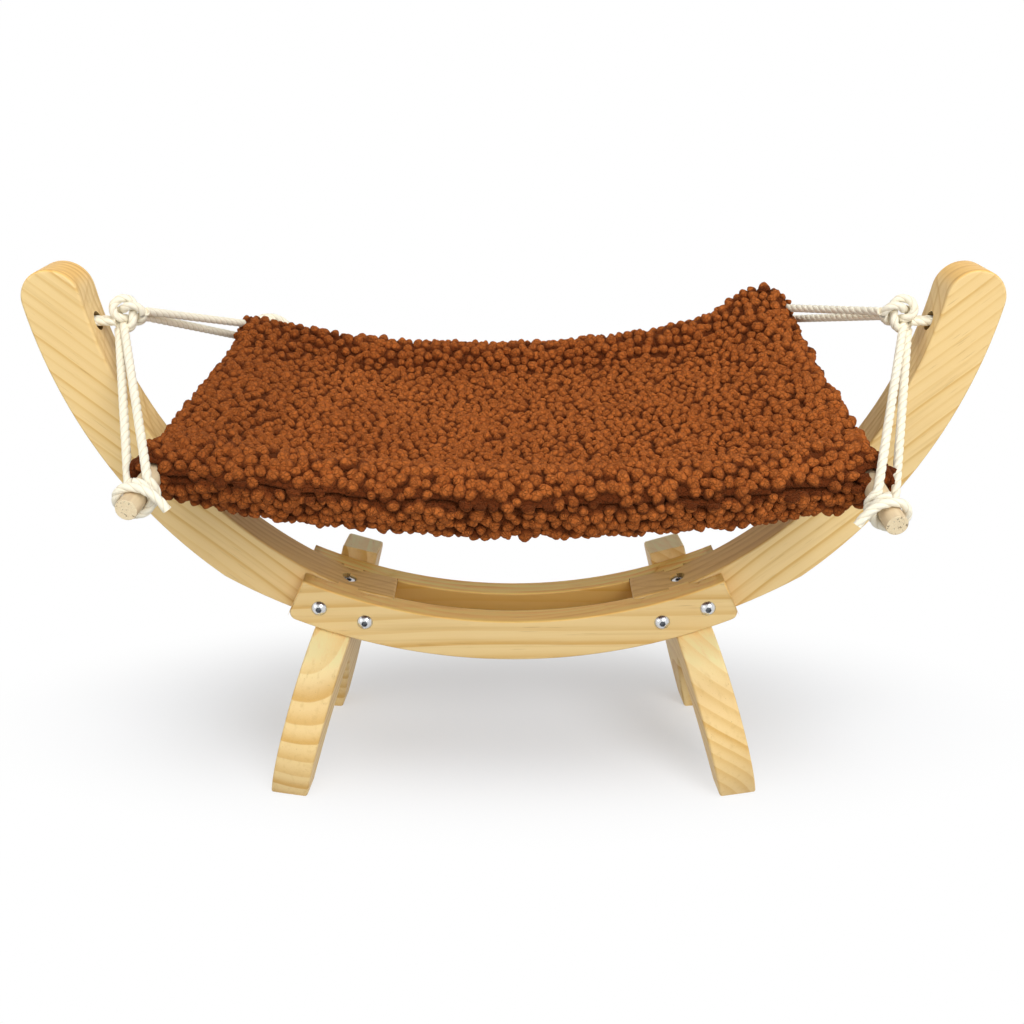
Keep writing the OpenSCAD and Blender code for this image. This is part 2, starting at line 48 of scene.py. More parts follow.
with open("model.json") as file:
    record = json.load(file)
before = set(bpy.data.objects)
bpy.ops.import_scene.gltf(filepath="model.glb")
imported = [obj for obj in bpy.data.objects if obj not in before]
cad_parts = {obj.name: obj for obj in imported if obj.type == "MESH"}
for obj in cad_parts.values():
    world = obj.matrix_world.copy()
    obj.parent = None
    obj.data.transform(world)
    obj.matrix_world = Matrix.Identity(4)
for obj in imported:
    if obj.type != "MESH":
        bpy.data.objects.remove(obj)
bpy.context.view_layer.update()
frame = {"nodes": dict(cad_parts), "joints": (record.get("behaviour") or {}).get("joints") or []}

LEFT, RIGHT = -1, 1
FRONT, REAR = -1, 1
SIDES = {"left": LEFT, "right": RIGHT}
ENDS = {"front": FRONT, "rear": REAR}
FIXED, MOVING = "frame", "hammock"
SWING_Z = frame["joints"][0]["pos_m"][2]
UPPER, LOWER = "bed_upper_layer", "bed_lower_layer"
INWARD = {UPPER: -1, LOWER: 1}


# Settings

def colour(name, description, default):
    return FloatVectorProperty(name=name, description=description, subtype="COLOR", size=3, min=0, max=1,
                               default=default)


def length(name, description, default):
    return FloatProperty(name=name, description=description, subtype="DISTANCE", unit="LENGTH", min=0,
                         precision=4, default=default)


def amount(name, description, default):
    return FloatProperty(name=name, description=description, min=0, default=default)


class WoodSettings(bpy.types.PropertyGroup):
    """Pine boards and turned dowels"""
    pale: colour("Early wood", "Pale wood between the growth rings", (0.86, 0.63, 0.29))
    late: colour("Late wood", "Dark line of a growth ring", (0.67, 0.385, 0.095))
    # The deep tone colours the lines on the boards' edges, and it is also painted shade on the rear rail's
    # faces
    deep: colour("Deep tone", "Dark faces, and the lines on the boards' edges", (0.58, 0.31, 0.05))
    edge_round: length("Edge rounding", "Rounding of the boards' edges", 0.0018)
    dowel_pale: colour("Dowel wood", "Wood of the dowels", (0.62, 0.47, 0.29))


class MetalSettings(bpy.types.PropertyGroup):
    """Bolts, nuts and inserts"""
    zinc: colour("Zinc", "Bright zinc plating", (0.66, 0.67, 0.68))
    edge_round: length("Edge rounding", "Rounding of the heads' edges", 0.0003)


class RopeSettings(bpy.types.PropertyGroup):
    """Twisted cotton rope"""
    cotton: colour("Cotton", "Undyed cotton", (0.93, 0.87, 0.7))
    # The groove colour is painted shade between the strands
    shade: colour("Groove", "Colour between the strands", (0.62, 0.51, 0.33))
    thickness: length("Thickness", "Diameter of the rope", 0.006)
    lay: length("Lay", "Length of one full twist of the strands", 0.021)
    groove: amount("Groove depth", "Depth of a groove as a share of the radius", 0.16)


class PlushSettings(bpy.types.PropertyGroup):
    """Curly plush of the bed"""
    # The light pile is the colour of the lit crowns, and the dark pile is painted shade at the roots, between
    # the locks and on shaded cloth
    light: colour("Light pile", "Tips of the curls", (0.54, 0.146, 0.028))
    dark: colour("Dark pile", "Roots of the curls", (0.1, 0.02, 0.0042))
    curl_gap: length("Curl gap", "Least distance between two curls", 0.006)
    curl_size: length("Curl size", "Radius of a curl in the middle of the bed", 0.0042)
    sink: length("Sink", "How far the cloth lies below the pile's tips", 0.0032)
    seed: IntProperty(name="Seed", description="Seed of the curls' places and turns", default=7)


class StageSettings(bpy.types.PropertyGroup):
    """Camera, lamps and floor"""
    camera_place: FloatVectorProperty(name="Camera", description="Place of the camera", subtype="TRANSLATION",
                                      unit="LENGTH", default=(0.0, -0.8289, 0.5495))
    camera_pitch: FloatProperty(name="Pitch", description="Angle of the view below the horizon",
                                subtype="ANGLE", default=math.radians(22.745))
    lens: amount("Lens", "Focal length in millimetres", 42.26)
    shift: FloatProperty(name="Shift", description="Sideways shift of the frame", default=-0.0015)
    key_power: amount("Key lamp", "Power of the key lamp in watts", 64)
    fill_power: amount("Fill lamp", "Power of the fill lamp in watts", 12)
    top_power: amount("Top lamp", "Power of the lamp overhead in watts", 46)
    sky: amount("Sky", "Strength of the light from overhead", 0.22)
    walls: amount("Walls", "Strength of the light from the studio's walls", 0.85)
    floor_glow: amount("Floor glow", "Lifts the floor to white for the camera", 0.4)


class HammockSettings(bpy.types.PropertyGroup):
    """All settings of the hammock"""
    wood: PointerProperty(type=WoodSettings)
    metal: PointerProperty(type=MetalSettings)
    rope: PointerProperty(type=RopeSettings)
    plush: PointerProperty(type=PlushSettings)
    stage: PointerProperty(type=StageSettings)


def settings():
    return bpy.context.scene.hammock


# Node trees

def arithmetic(operation, swapped=False):
    """A method of Wire that adds a Math node; swapped gives the reflected form."""
    def add_node(self, other):
        return self.graph.math(operation, *((other, self) if swapped else (self, other)))
    return add_node


class Wire:
    """An output socket of a node tree; arithmetic on it adds Math nodes."""
    __add__, __radd__ = arithmetic("ADD"), arithmetic("ADD", True)
    __sub__, __rsub__ = arithmetic("SUBTRACT"), arithmetic("SUBTRACT", True)
    __mul__, __rmul__ = arithmetic("MULTIPLY"), arithmetic("MULTIPLY", True)
    __truediv__, __rtruediv__ = arithmetic("DIVIDE"), arithmetic("DIVIDE", True)
    __pow__, __rpow__ = arithmetic("POWER"), arithmetic("POWER", True)

    def __init__(self, graph, socket):
        self.graph = graph
        self.socket = socket

    def math(self, operation, *others):
        return self.graph.math(operation, self, *others)

    def other(self, output):
        """Another output of the same node."""
        return Wire(self.graph, self.socket.node.outputs[output])


class Graph:
    """Adds nodes to a shader or geometry tree."""

    def __init__(self, tree):
        self.tree = tree

    def node(self, kind, options=None, inputs=None, output=0):
        made = self.tree.nodes.new(kind)
        for name, value in (options or {}).items():
            setattr(made, name, value)
        self.feed(made.inputs, inputs or {})
        return Wire(self, made.outputs[output])

    def plug(self, socket, value):
        """Sets or links a socket; the wires of a list all go into it."""
        if isinstance(value, list):
            for wire in value:
                self.plug(socket, wire)
        elif isinstance(value, Wire):
            self.tree.links.new(value.socket, socket)
        else:
            socket.default_value = value

    def math(self, operation, *values):
        return self.node("ShaderNodeMath", {"operation": operation}, dict(enumerate(values)))

    def coordinate(self, kind="Object"):
        return self.node("ShaderNodeTexCoord", output=kind)

    def dot(self, vector, axis):
        return self.node("ShaderNodeVectorMath", {"operation": "DOT_PRODUCT"},
                         {0: vector, 1: tuple(axis)}, "Value")

    def vector(self, x, y, z):
        return self.node("ShaderNodeCombineXYZ", inputs={0: x, 1: y, 2: z})

    def mix(self, factor, first, second, blend="MIX"):
        """Blends two colours."""
        ends = [c if isinstance(c, Wire) else (*c[:3], 1.0) for c in (first, second)]
        options = {"data_type": "RGBA", "blend_type": blend, "clamp_result": blend != "MIX"}
        return self.node("ShaderNodeMix", options, {0: factor, 6: ends[0], 7: ends[1]}, 2)

    def stain(self, base, value, low, high, share, tone):
        """Mixes a tone into a colour where a value is high."""
        return self.mix(self.smooth(value, low, high) * share, base, tone)

    def feed(self, sockets, values):
        for name, value in values.items():
            self.plug(sockets[name], value)

    def noise(self, vector, scale=1.0, detail=2.0, rough=0.5):
        return self.node("ShaderNodeTexNoise", inputs={
            "Vector": vector, "Scale": scale, "Detail": detail, "Roughness": rough})

    def smooth(self, value, low, high):
        """Rises smoothly from 0 at low to 1 at high."""
        return self.node("ShaderNodeMapRange", {"interpolation_type": "SMOOTHSTEP"},
                         {"Value": value, "From Min": low, "From Max": high})

    def attribute(self, name):
        return self.node("ShaderNodeAttribute", {"attribute_name": name}, output="Fac")

    def bump(self, height, strength, distance):
        return self.node("ShaderNodeBump", inputs={
            "Height": height, "Strength": strength, "Distance": distance})


def new_material(name, constants):
    """A material with its Principled shader; constants are set on the shader's own sockets."""
    material = bpy.data.materials.new(name)
    material.use_nodes = True
    graph = Graph(material.node_tree)
    shader = material.node_tree.nodes["Principled BSDF"]
    graph.feed(shader.inputs, constants)
    return material, graph, shader.inputs


def new_tree(name, inputs, output):
    """A Geometry Nodes tree, with its inputs as wires."""
    tree = bpy.data.node_groups.new(name, "GeometryNodeTree")
    for label, kind in inputs.items():
        tree.interface.new_socket(label, in_out="INPUT", socket_type="NodeSocket" + kind)
    tree.interface.new_socket(output, in_out="OUTPUT", socket_type="NodeSocketGeometry")
    graph = Graph(tree)
    source = graph.node("NodeGroupInput")
    return graph, [source.other(number) for number in range(len(inputs))]


def close_tree(graph, geometry, material):
    """Ends a Geometry Nodes tree: plain geometry with its material."""
    geometry = graph.node("GeometryNodeRealizeInstances", inputs={"Geometry": geometry})
    geometry = graph.node("GeometryNodeSetMaterial", inputs={"Geometry": geometry, "Material": material})
    graph.plug(graph.tree.nodes.new("NodeGroupOutput").inputs[0], geometry)
    return graph.tree


def run_tree(piece, tree, values):
    """Runs a Geometry Nodes tree on a piece and keeps the result as a plain mesh."""
    modifier = piece.modifiers.new(tree.name, "NODES")
    modifier.node_group = tree
    for item in tree.interface.items_tree:
        if item.item_type == "SOCKET" and item.in_out == "INPUT" and item.name in values:
            modifier[item.identifier] = values[item.name]
    apply_modifiers(piece)
    smooth_faces(piece.data)


# Materials

def grain_axes(g, along, depth, pith=(0, 0, 0)):
    """Distances along the fibres, and across them in two directions from the pith line."""
    place = g.coordinate()
    along = Vector(along).normalized()
    depth = (Vector(depth) - along * along.dot(Vector(depth))).normalized()
    a, b = [g.dot(place, way) - way.dot(Vector(pith)) for way in (along.cross(depth), depth)]
    return g.dot(place, along), a, b


def grain_noise(g, axes, fine, long, detail, rough=0.5, shift=0):
    """Noise with one scale across the grain and another along it."""
    s, a, b = axes
    return g.noise(g.vector(a * fine, b * fine, s * long + shift), detail=detail, rough=rough)


# The gap of the lines on the boards' edges, and the heights over which upper faces take their painted light
# and shade
LINE_GAP, PAINTED_TOP_FROM, PAINTED_TOP_TO = 0.0068, 0.085, 0.105


def pine_material(name, seed, along, pith, gap, tint, wide=0.0, shade=0.0):
    """Straight-grained pine: growth rings round a pith line, with fibres along it."""
    wood = settings().wood
    material, g, shader = new_material(name, {"Coat Roughness": 0.4, "Specular IOR Level": 0.22})
    place, facing = g.coordinate(), g.coordinate("Normal")
    s, a, b = axes = grain_axes(g, along, (0, 1, 0), pith)
    drift = grain_noise(g, axes, 9, 3.2, 2, shift=seed) - 0.5
    ripple = grain_noise(g, axes, 60, 9, 1, shift=seed) - 0.5
    radius = (a * a + b * b).math("SQRT") + drift * 0.011 + ripple * 0.0012
    phase = radius / gap + seed * 0.37
    ring = phase.math("FRACT")
    year = g.node("ShaderNodeTexWhiteNoise", {"noise_dimensions": "1D"},
                  {"W": phase.math("FLOOR") + seed}, "Value")
    band = g.smooth(ring, 0.3 - 0.2 * wide, 0.9 - 0.4 * wide)
    line = g.smooth(ring, 0.66 - 0.3 * wide, 0.88)
    late = (band * 0.35 + line * 0.65) * (1 - g.smooth(ring, 0.91, 0.98))
    edge = 1 - g.smooth(g.dot(facing, (0, 1, 0)).math("ABSOLUTE"), 0.25, 0.6)
    layer = (b + drift * 0.04 + ripple * 0.007) / LINE_GAP + seed * 0.2
    lines = layer.math("FRACT")
    lines = g.smooth(lines, 0.25, 0.85) * (1 - g.smooth(lines, 0.88, 0.98))
    lines = lines * g.smooth(g.noise(g.vector(layer.math("FLOOR"), s * 14, seed), detail=1), 0.25, 0.75)
    # Upper faces get a tint that paints light on the tops of the rails and legs, and shade on the tops of the
    # arms
    upper = g.smooth(g.dot(facing, (0, 0, 1)), 0.25, 0.8)
    upper = upper * g.smooth(g.dot(place, (0, 0, 1)), PAINTED_TOP_FROM, PAINTED_TOP_TO)
    strength = (g.smooth(year, 0.1, 1.0) * 0.6 + 0.26 + 0.24 * wide) * (1 - upper * 0.55)
    fibre = grain_noise(g, axes, 1500, 26, 3, rough=0.62)
    streak = grain_noise(g, axes, 240, 5, 3)
    cloud = g.noise(place, scale=7, detail=2)
    pore = g.smooth(grain_noise(g, axes, 900, 34, 1), 0.69, 0.78)
    base = g.mix(late * strength, wood.pale, wood.late)
    base = g.mix(edge * lines * (1 - wide) * 0.75, base, wood.deep)
    base = g.stain(base, streak, 0.5, 0.8, 0.3, [0.8 * c for c in wood.late])
    base = g.stain(base, fibre, 0.35, 0.8, 0.16, (0.9, 0.72, 0.4))
    base = g.stain(base, cloud, 0.4, 0.72, 0.22, (0.72, 0.44, 0.15))
    base = g.mix(pore * 0.3, base, (0.36, 0.18, 0.06))
    # Painted shade: the deep tone darkens all but the upper faces, by the board's shade share
    base = g.mix((1 - upper) * shade, base, wood.deep)
    # Painted light and shade on the upper faces
    base = g.mix(upper, base, tint, "MULTIPLY")
    # Painted shade in hollows, such as the pockets for the leg bolts
    base = g.stain(base, g.attribute("recess"), 0.3, 0.8, 0.8, (0.09, 0.045, 0.015))
    g.feed(shader, {"Base Color": base, "Roughness": 0.4 + fibre * 0.2 - late * 0.06,
                    "Coat Weight": 0.02 + cloud * 0.05,
                    "Normal": g.bump(fibre * 0.6 + late * 0.5 - pore, 0.35, 0.0003)})
    return material


def dowel_material(name, along):
    """Plain turned wood with open pores on the sawn ends."""
    wood = settings().wood
    material, g, shader = new_material(name, {"Specular IOR Level": 0.35})
    axes = grain_axes(g, along, along.orthogonal())
    facing = g.dot(g.node("ShaderNodeNewGeometry", output="Normal"), along).math("ABSOLUTE")
    end = g.smooth(facing, 0.75, 0.95)
    fibre = grain_noise(g, axes, 900, 20, 3)
    grain = grain_noise(g, axes, 260, 6, 2)
    pore = g.smooth(grain_noise(g, axes, 620, 90, 2), 0.6, 0.68)
    fleck = grain_noise(g, axes, 1500, 60, 2)
    base = g.stain(wood.dowel_pale, grain, 0.35, 0.7, 0.5, (0.83, 0.69, 0.45))
    sawn = g.stain((0.8, 0.64, 0.4), fleck, 0.35, 0.7, 0.5, (0.93, 0.82, 0.58))
    sawn = g.mix(pore * 0.7, sawn, (0.17, 0.1, 0.045))
    g.feed(shader, {"Base Color": g.mix(end, base, sawn), "Roughness": 0.55 + end * 0.25 + fibre * 0.1,
                    "Normal": g.bump(fibre * 0.5 - pore * end * 2, 0.5, 0.0003)})
    return material


def zinc_material(name):
    """Bright zinc plating with faint turning marks and dull patches, and painted shade in the hex sockets."""
    material, g, shader = new_material(name, {"Metallic": 1.0})
    place = g.coordinate()
    patch = g.noise(place, scale=420, detail=3)
    speck = g.noise(place, scale=1700, detail=2)
    zinc = settings().metal.zinc
    # Painted shade darkens the zinc in the hex sockets
    recess = g.smooth(g.attribute("recess"), 0.25, 0.6)
    base = g.stain(zinc, patch, 0.4, 0.75, 0.6, [0.72 * c for c in zinc])
    g.feed(shader, {"Base Color": g.mix(recess * 0.9, base, (0.07, 0.08, 0.095)),
                    "Roughness": 0.16 + patch * 0.2 + recess * 0.1, "Normal": g.bump(speck, 0.12, 0.0001)})
    return material


def rope_material(name):
    """Undyed cotton: painted shade in the grooves between the strands, and fine yarn over them."""
    rope = settings().rope
    material, g, shader = new_material(name, {
        "Sheen Weight": 0.25, "Sheen Roughness": 0.5, "Sheen Tint": (1.0, 0.97, 0.9, 1.0)})
    place = g.coordinate()
    groove = g.attribute("groove")
    yarn = g.noise(place, scale=1300, detail=3, rough=0.6)
    soil = g.noise(place, scale=60, detail=2)
    # Painted shade in the grooves
    base = g.stain(rope.cotton, groove, 0.5, 1.0, 0.55, rope.shade)
    base = g.stain(base, yarn, 0.45, 0.8, 0.22, (0.76, 0.67, 0.5))
    base = g.stain(base, soil, 0.45, 0.8, 0.2, (0.87, 0.77, 0.57))
    g.feed(shader, {"Base Color": base, "Roughness": 0.8 + yarn * 0.15,
                    "Normal": g.bump(yarn - groove * 0.4, 0.6, 0.0004)})
    return material


def plush_material(name):
    """Rust-brown fleece: tips lighter than roots, each curl with its own tint and fine fibres.

    The dark roots, the cracks between locks and the shade attribute are painted shade.
    """
    plush = settings().plush
    material, g, shader = new_material(name, {
        "Sheen Weight": 0.12, "Sheen Roughness": 0.45, "Sheen Tint": (1.0, 0.4, 0.15, 1.0),
        "Specular IOR Level": 0.08})
    place = g.coordinate()
    height = g.attribute("height")
    fibre = g.noise(place, scale=1900, detail=3, rough=0.65)
    tuft = g.noise(place, scale=620, detail=3)
    cloud = g.noise(place, scale=14, detail=2)
    bent = g.node("ShaderNodeVectorMath", {"operation": "MULTIPLY_ADD"},
                  {0: g.node("ShaderNodeTexNoise", inputs={"Vector": place, "Scale": 300.0}, output="Color"),
                   1: (0.0035, 0.0035, 0.0035), 2: place})
    lock = g.node("ShaderNodeTexVoronoi", {"feature": "DISTANCE_TO_EDGE"},
                  {"Vector": bent, "Scale": 270.0}, "Distance")
    fold = g.smooth(lock, 0.0, 0.16)
    # Painted shade down the curls' sides: the height attribute falls from the crown to the root
    base = g.mix(g.smooth(height, 0.0, 0.75), plush.dark, plush.light)
    base = g.stain(base, g.attribute("tint"), 0.2, 1.0, 0.3, (0.29, 0.068, 0.014))
    # Paler tufts of fibre, shown only on the crowns, where they also add painted light
    base = g.stain(base, tuft, 0.42, 0.7, height * 0.42, (0.6, 0.2, 0.055))
    base = g.stain(base, cloud, 0.4, 0.7, 0.16, (0.26, 0.056, 0.011))
    base = g.stain(base, fibre, 0.35, 0.75, 0.26, (0.2, 0.042, 0.009))
    # Painted shade in the cracks between locks of fibre
    base = g.mix((1 - fold) * 0.34, base, plush.dark)
    # Painted shade stored by mark_pile: the rear fold, the left side and the seam
    base = g.mix(g.attribute("shade"), base, plush.dark)
    g.feed(shader, {"Base Color": base, "Roughness": 0.88 + fibre * 0.1,
                    "Normal": g.bump(fibre * 0.6 + tuft * 0.7 + fold * 0.7, 1.0, 0.0013)})
    return material


# How fast the floor fades to white, sideways and in depth per metre, and how far the fade lies to the rear
FADE_X, FADE_Y, FADE_REAR = 2.4, 6.2, 0.27


def floor_material(name):
    """Pale floor that keeps the shadow and shows white to the camera and in reflections."""
    material = bpy.data.materials.new(name)
    material.use_nodes = True
    g = Graph(material.node_tree)
    material.node_tree.nodes.remove(material.node_tree.nodes["Principled BSDF"])
    place = g.coordinate()
    grit = g.noise(place, scale=900, detail=2)
    seen = seen_directly(g)
    tone = g.mix(grit * 0.04, (0.48, 0.492, 0.51), (0.44, 0.452, 0.465))
    matt = g.node("ShaderNodeBsdfDiffuse", inputs={"Color": tone})
    lift = seen * settings().stage.floor_glow
    glow = g.node("ShaderNodeEmission", inputs={"Color": (1, 1, 1, 1), "Strength": lift})
    near = g.node("ShaderNodeAddShader", inputs={0: matt, 1: glow})
    white = g.node("ShaderNodeEmission", inputs={"Color": (1, 1, 1, 1), "Strength": 1.0})
    x, y = g.dot(place, (FADE_X, 0, 0)), g.dot(place, (0, FADE_Y, 0)) - FADE_REAR
    far = g.smooth((x * x + y * y).math("SQRT"), 0.3, 1.15)
    whole = g.node("ShaderNodeMixShader", inputs={0: far * seen, 1: near, 2: white})
    g.plug(material.node_tree.nodes["Material Output"].inputs["Surface"], whole)
    return material


def seen_directly(g):
    """One for camera, glossy and transmission rays, and nought for light that the object receives."""
    ray = g.node("ShaderNodeLightPath", output="Is Camera Ray")
    return (ray + ray.other("Is Glossy Ray") + ray.other("Is Transmission Ray")).math("MINIMUM", 1.0)


# Pieces

# Edges sharper than this, in degrees, are rounded or stay sharp in the shading
SHARP = 30


def link(name, data):
    piece = bpy.data.objects.new(name, data)
    bpy.context.scene.collection.objects.link(piece)
    return piece


def finished(piece, body, node, material=None):
    """Hands a finished piece to the frame: its body and the node that it stands for."""
    if material:
        piece.data.materials.append(material)
    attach(piece, body)
    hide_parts(node)
    return piece


def apply_modifiers(piece):
    """Turns the evaluated piece into a plain mesh."""
    graph = bpy.context.evaluated_depsgraph_get()
    mesh = bpy.data.meshes.new_from_object(piece.evaluated_get(graph), depsgraph=graph)
    piece.modifiers.clear()
    old = piece.data
    piece.data = mesh
    if old.users == 0:
        bpy.data.meshes.remove(old)


def welded_copy(node, name):
    """A copy of a node's mesh with its loose triangles joined and its flat faces made whole."""
    mesh = frame["nodes"][node].data.copy()
    mesh.name = name
    mesh.materials.clear()
    shape = bmesh.new()
    shape.from_mesh(mesh)
    bmesh.ops.remove_doubles(shape, verts=shape.verts, dist=1e-6)
    bmesh.ops.dissolve_limit(shape, angle_limit=math.radians(0.4), verts=shape.verts, edges=shape.edges)
    shape.to_mesh(mesh)
    shape.free()
    return link(name, mesh)


def flat_regions(shape, least):
    """Groups of joined faces that lie in one plane, from the given area upwards."""
    left = set(shape.faces)
    regions = []
    while left:
        first = left.pop()
        group, todo = [first], [first]
        while todo:
            near = {f for e in todo.pop().edges for f in e.link_faces} & left
            level = [f for f in near if f.normal.dot(first.normal) > 0.99999]
            left.difference_update(level)
            group += level
            todo += level
        if sum(f.calc_area() for f in group) >= least:
            regions.append(group)
    return regions


def border_rings(group):
    """The rings of points round a group of faces, the outer one first."""
    inside = set(group)
    follow = {}
    for face in group:
        for corner in face.loops:
            if not inside.issuperset(corner.edge.link_faces):
                follow[corner.vert] = corner.link_loop_next.vert
    rings = []
    while follow:
        start, here = follow.popitem()
        ring = [start]
        while here != start:
            ring.append(here)
            here = follow.pop(here)
        rings.append(ring)
    return sorted(rings, key=lambda ring: -sum((a.co - b.co).length for a, b in zip(ring, ring[1:])))


def rounded_board(piece, width, segments=3, least=0.0012):
    """Rounds a board's long edges. A flat side is one plain face meanwhile, and gets its holes back after."""
    shape = bmesh.new()
    shape.from_mesh(piece.data)
    holes = {}
    for number, group in enumerate(flat_regions(shape, least), 1):
        outer, *holes[number] = border_rings(group)
        bmesh.ops.delete(shape, geom=group, context="FACES")
        side = shape.faces.new(outer)
        side.material_index = number
        side.normal_update()
    sharp = [e for e in shape.edges if len(e.link_faces) == 2 and e.calc_face_angle() > math.radians(SHARP)]
    inner_corners = {v for e in sharp if not e.is_convex for v in e.verts}
    edges = [e for e in sharp if e.is_convex and any(f.material_index for f in e.link_faces)
             and inner_corners.isdisjoint(e.verts)]
    bmesh.ops.bevel(shape, geom=edges, offset=width, segments=segments, profile=0.5, affect="EDGES",
                    clamp_overlap=False, miter_outer="ARC", offset_type="OFFSET", material=0)
    for number, inner in holes.items():
        side = max((f for f in shape.faces if f.material_index == number), key=lambda f: len(f.verts))
        rings = [list(side.verts)] + inner
        points = [v for ring in rings for v in ring]
        outward = side.normal.copy()
        shape.faces.remove(side)
        for triple in tessellate_polygon([[v.co for v in ring] for ring in rings]):
            made = shape.faces.new([points[i] for i in triple])
            made.normal_update()
            if made.normal.dot(outward) < 0:
                made.normal_flip()
    for face in shape.faces:
        face.material_index = 0
    shape.to_mesh(piece.data)
    shape.free()
    shade_smooth(piece)


def rounded(piece, width, segments=2):
    """Rounds all the sharp edges of a small piece."""
    bevel = piece.modifiers.new("Rounded edges", "BEVEL")
    bevel.width = width
    bevel.segments = segments
    bevel.limit_method = "ANGLE"
    bevel.angle_limit = math.radians(SHARP)
    bevel.miter_outer = "MITER_ARC"
    apply_modifiers(piece)
    shade_smooth(piece)


def search_tree(*meshes):
    """A search tree of the faces of one or more meshes."""
    points, faces = [], []
    for mesh in meshes:
        first = len(points)
        points += [v.co.copy() for v in mesh.vertices]
        faces += [[first + i for i in p.vertices] for p in mesh.polygons]
    return BVHTree.FromPolygons(points, faces)


def mark_recess(piece, reach, cones=((30, 4), (60, 8))):
    """Stores on each face how far other faces close it in, from 0 in the open to 1 in a deep hole, as the
    share of painted shade that the wood and zinc take there.

    Rays leave the face on cones, each with its tilt in degrees and its number of rays.
    """
    tree = search_tree(piece.data)
    closed = []
    for face in piece.data.polygons:
        start = face.center + face.normal * 5e-5
        side = face.normal.orthogonal().normalized()
        hits = 0
        for tilt, count in cones:
            rise, spread = math.cos(math.radians(tilt)), math.sin(math.radians(tilt))
            for number in range(count):
                turn = Matrix.Rotation(2 * math.pi * number / count, 3, face.normal)
                way = face.normal * rise + turn @ side * spread
                hits += tree.ray_cast(start, way, reach)[0] is not None
        closed.append(hits / sum(count for _, count in cones))
    store(piece.data, "recess", closed, "FACE")


def store(mesh, label, values, domain="POINT"):
    mesh.attributes.new(label, "FLOAT", domain).data.foreach_set("value", values)


def smooth_faces(mesh):
    mesh.polygons.foreach_set("use_smooth", [True] * len(mesh.polygons))


def shade_smooth(piece):
    """Smooth shading, apart from sharp edges."""
    smooth_faces(piece.data)
    piece.data.set_sharp_from_angle(angle=math.radians(SHARP))
    normals = piece.modifiers.new("Face normals", "WEIGHTED_NORMAL")
    normals.keep_sharp = True
    apply_modifiers(piece)


# Ropes

# The ropes' route, in metres
HOLE_X = 0.290983
KNOT_REACH, KNOT_RISE, KNOT_R, KNOT_LIFT = 0.021, 0.005, 0.0075, 0.0036
DOWEL_L, DOWEL_D = 0.330, 0.014
DOWEL_TILT = {LEFT: math.radians(5.7), RIGHT: math.radians(11)}
DOWEL_TOE = math.radians(5)
ROPE_PLAY = 0.0002
TURN_INSET, HITCH_INSET, HITCH_PITCH = 0.024, 0.0174, 0.0068
TAIL_L, TAIL_LEAN = 0.026, math.radians(35)
STOPPER_X, STOPPER_L, STOPPER_R = 0.3160, 0.015, 0.006

# How a rope is laid: its strands, the points of its outline, its grooves' sharpness and its rings' gap
STRANDS, OUTLINE, GROOVE_SHARP, RING_GAP = 3, 24, 2.4, 0.0011


def steps(count):
    """Equal steps from 0 to 1, both ends included."""
    return [i / count for i in range(count + 1)]


def side_name(k):
    return "left" if k == LEFT else "right"


def dowel_axis(k):
    tilt = DOWEL_TILT[k]
    flat = math.cos(tilt)
    return Vector((-k * math.sin(DOWEL_TOE) * flat, math.cos(DOWEL_TOE) * flat, math.sin(tilt)))


def dowel_point(k, s):
    low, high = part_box(side_name(k) + "_dowel")
    return (low + high) / 2 + s * dowel_axis(k)


def turn_radius():
    return DOWEL_D / 2 + settings().rope.thickness / 2 + ROPE_PLAY


def knot_place(k):
    return Vector((k * (HOLE_X - KNOT_REACH), 0, SWING_Z + KNOT_RISE))


def knot_path(k, count=144):
    """A trefoil that lies on a ring."""
    points = []
    for w in steps(count)[:-1]:
        a = 2 * math.pi * w
        q = KNOT_R + KNOT_LIFT * math.cos(3 * a)
        way = (-k * q * math.cos(2 * a), -KNOT_LIFT * math.sin(3 * a), q * math.sin(2 * a))
        points.append(knot_place(k) + Vector(way))
    return points


def knot_exit(k, e):
    lobe = KNOT_R + KNOT_LIFT
    away = (k * lobe / 2, 0, -lobe * math.sin(math.radians(60))) if e == FRONT else (-k * lobe, 0, 0)
    return knot_place(k) + Vector(away)


def strand_path(k, e, straight=16, bent=28):
    """From the knot to the dowel, round it and back."""
    axis = dowel_axis(k)
    middle = dowel_point(k, e * (DOWEL_L / 2 - TURN_INSET))
    radius = turn_radius()
    way = knot_exit(k, e) - middle
    flat = way - way.dot(axis) * axis
    x = flat.normalized()
    y = axis.cross(x)
    half = math.acos(radius / flat.length)
    fan = settings().rope.thickness / 2 + ROPE_PLAY / 2
    starts = [knot_exit(k, e) + s * fan * y for s in (1, -1)]

    def round_at(f):
        return middle + radius * (math.cos(f) * x + math.sin(f) * y)

    out = [starts[0].lerp(round_at(half), w) for w in steps(straight)[:-1]]
    turn = [round_at(half + (2 * math.pi - 2 * half) * w) for w in steps(bent)]
    back = [round_at(-half).lerp(starts[1], w) for w in steps(straight)[1:]]
    return out + turn + back


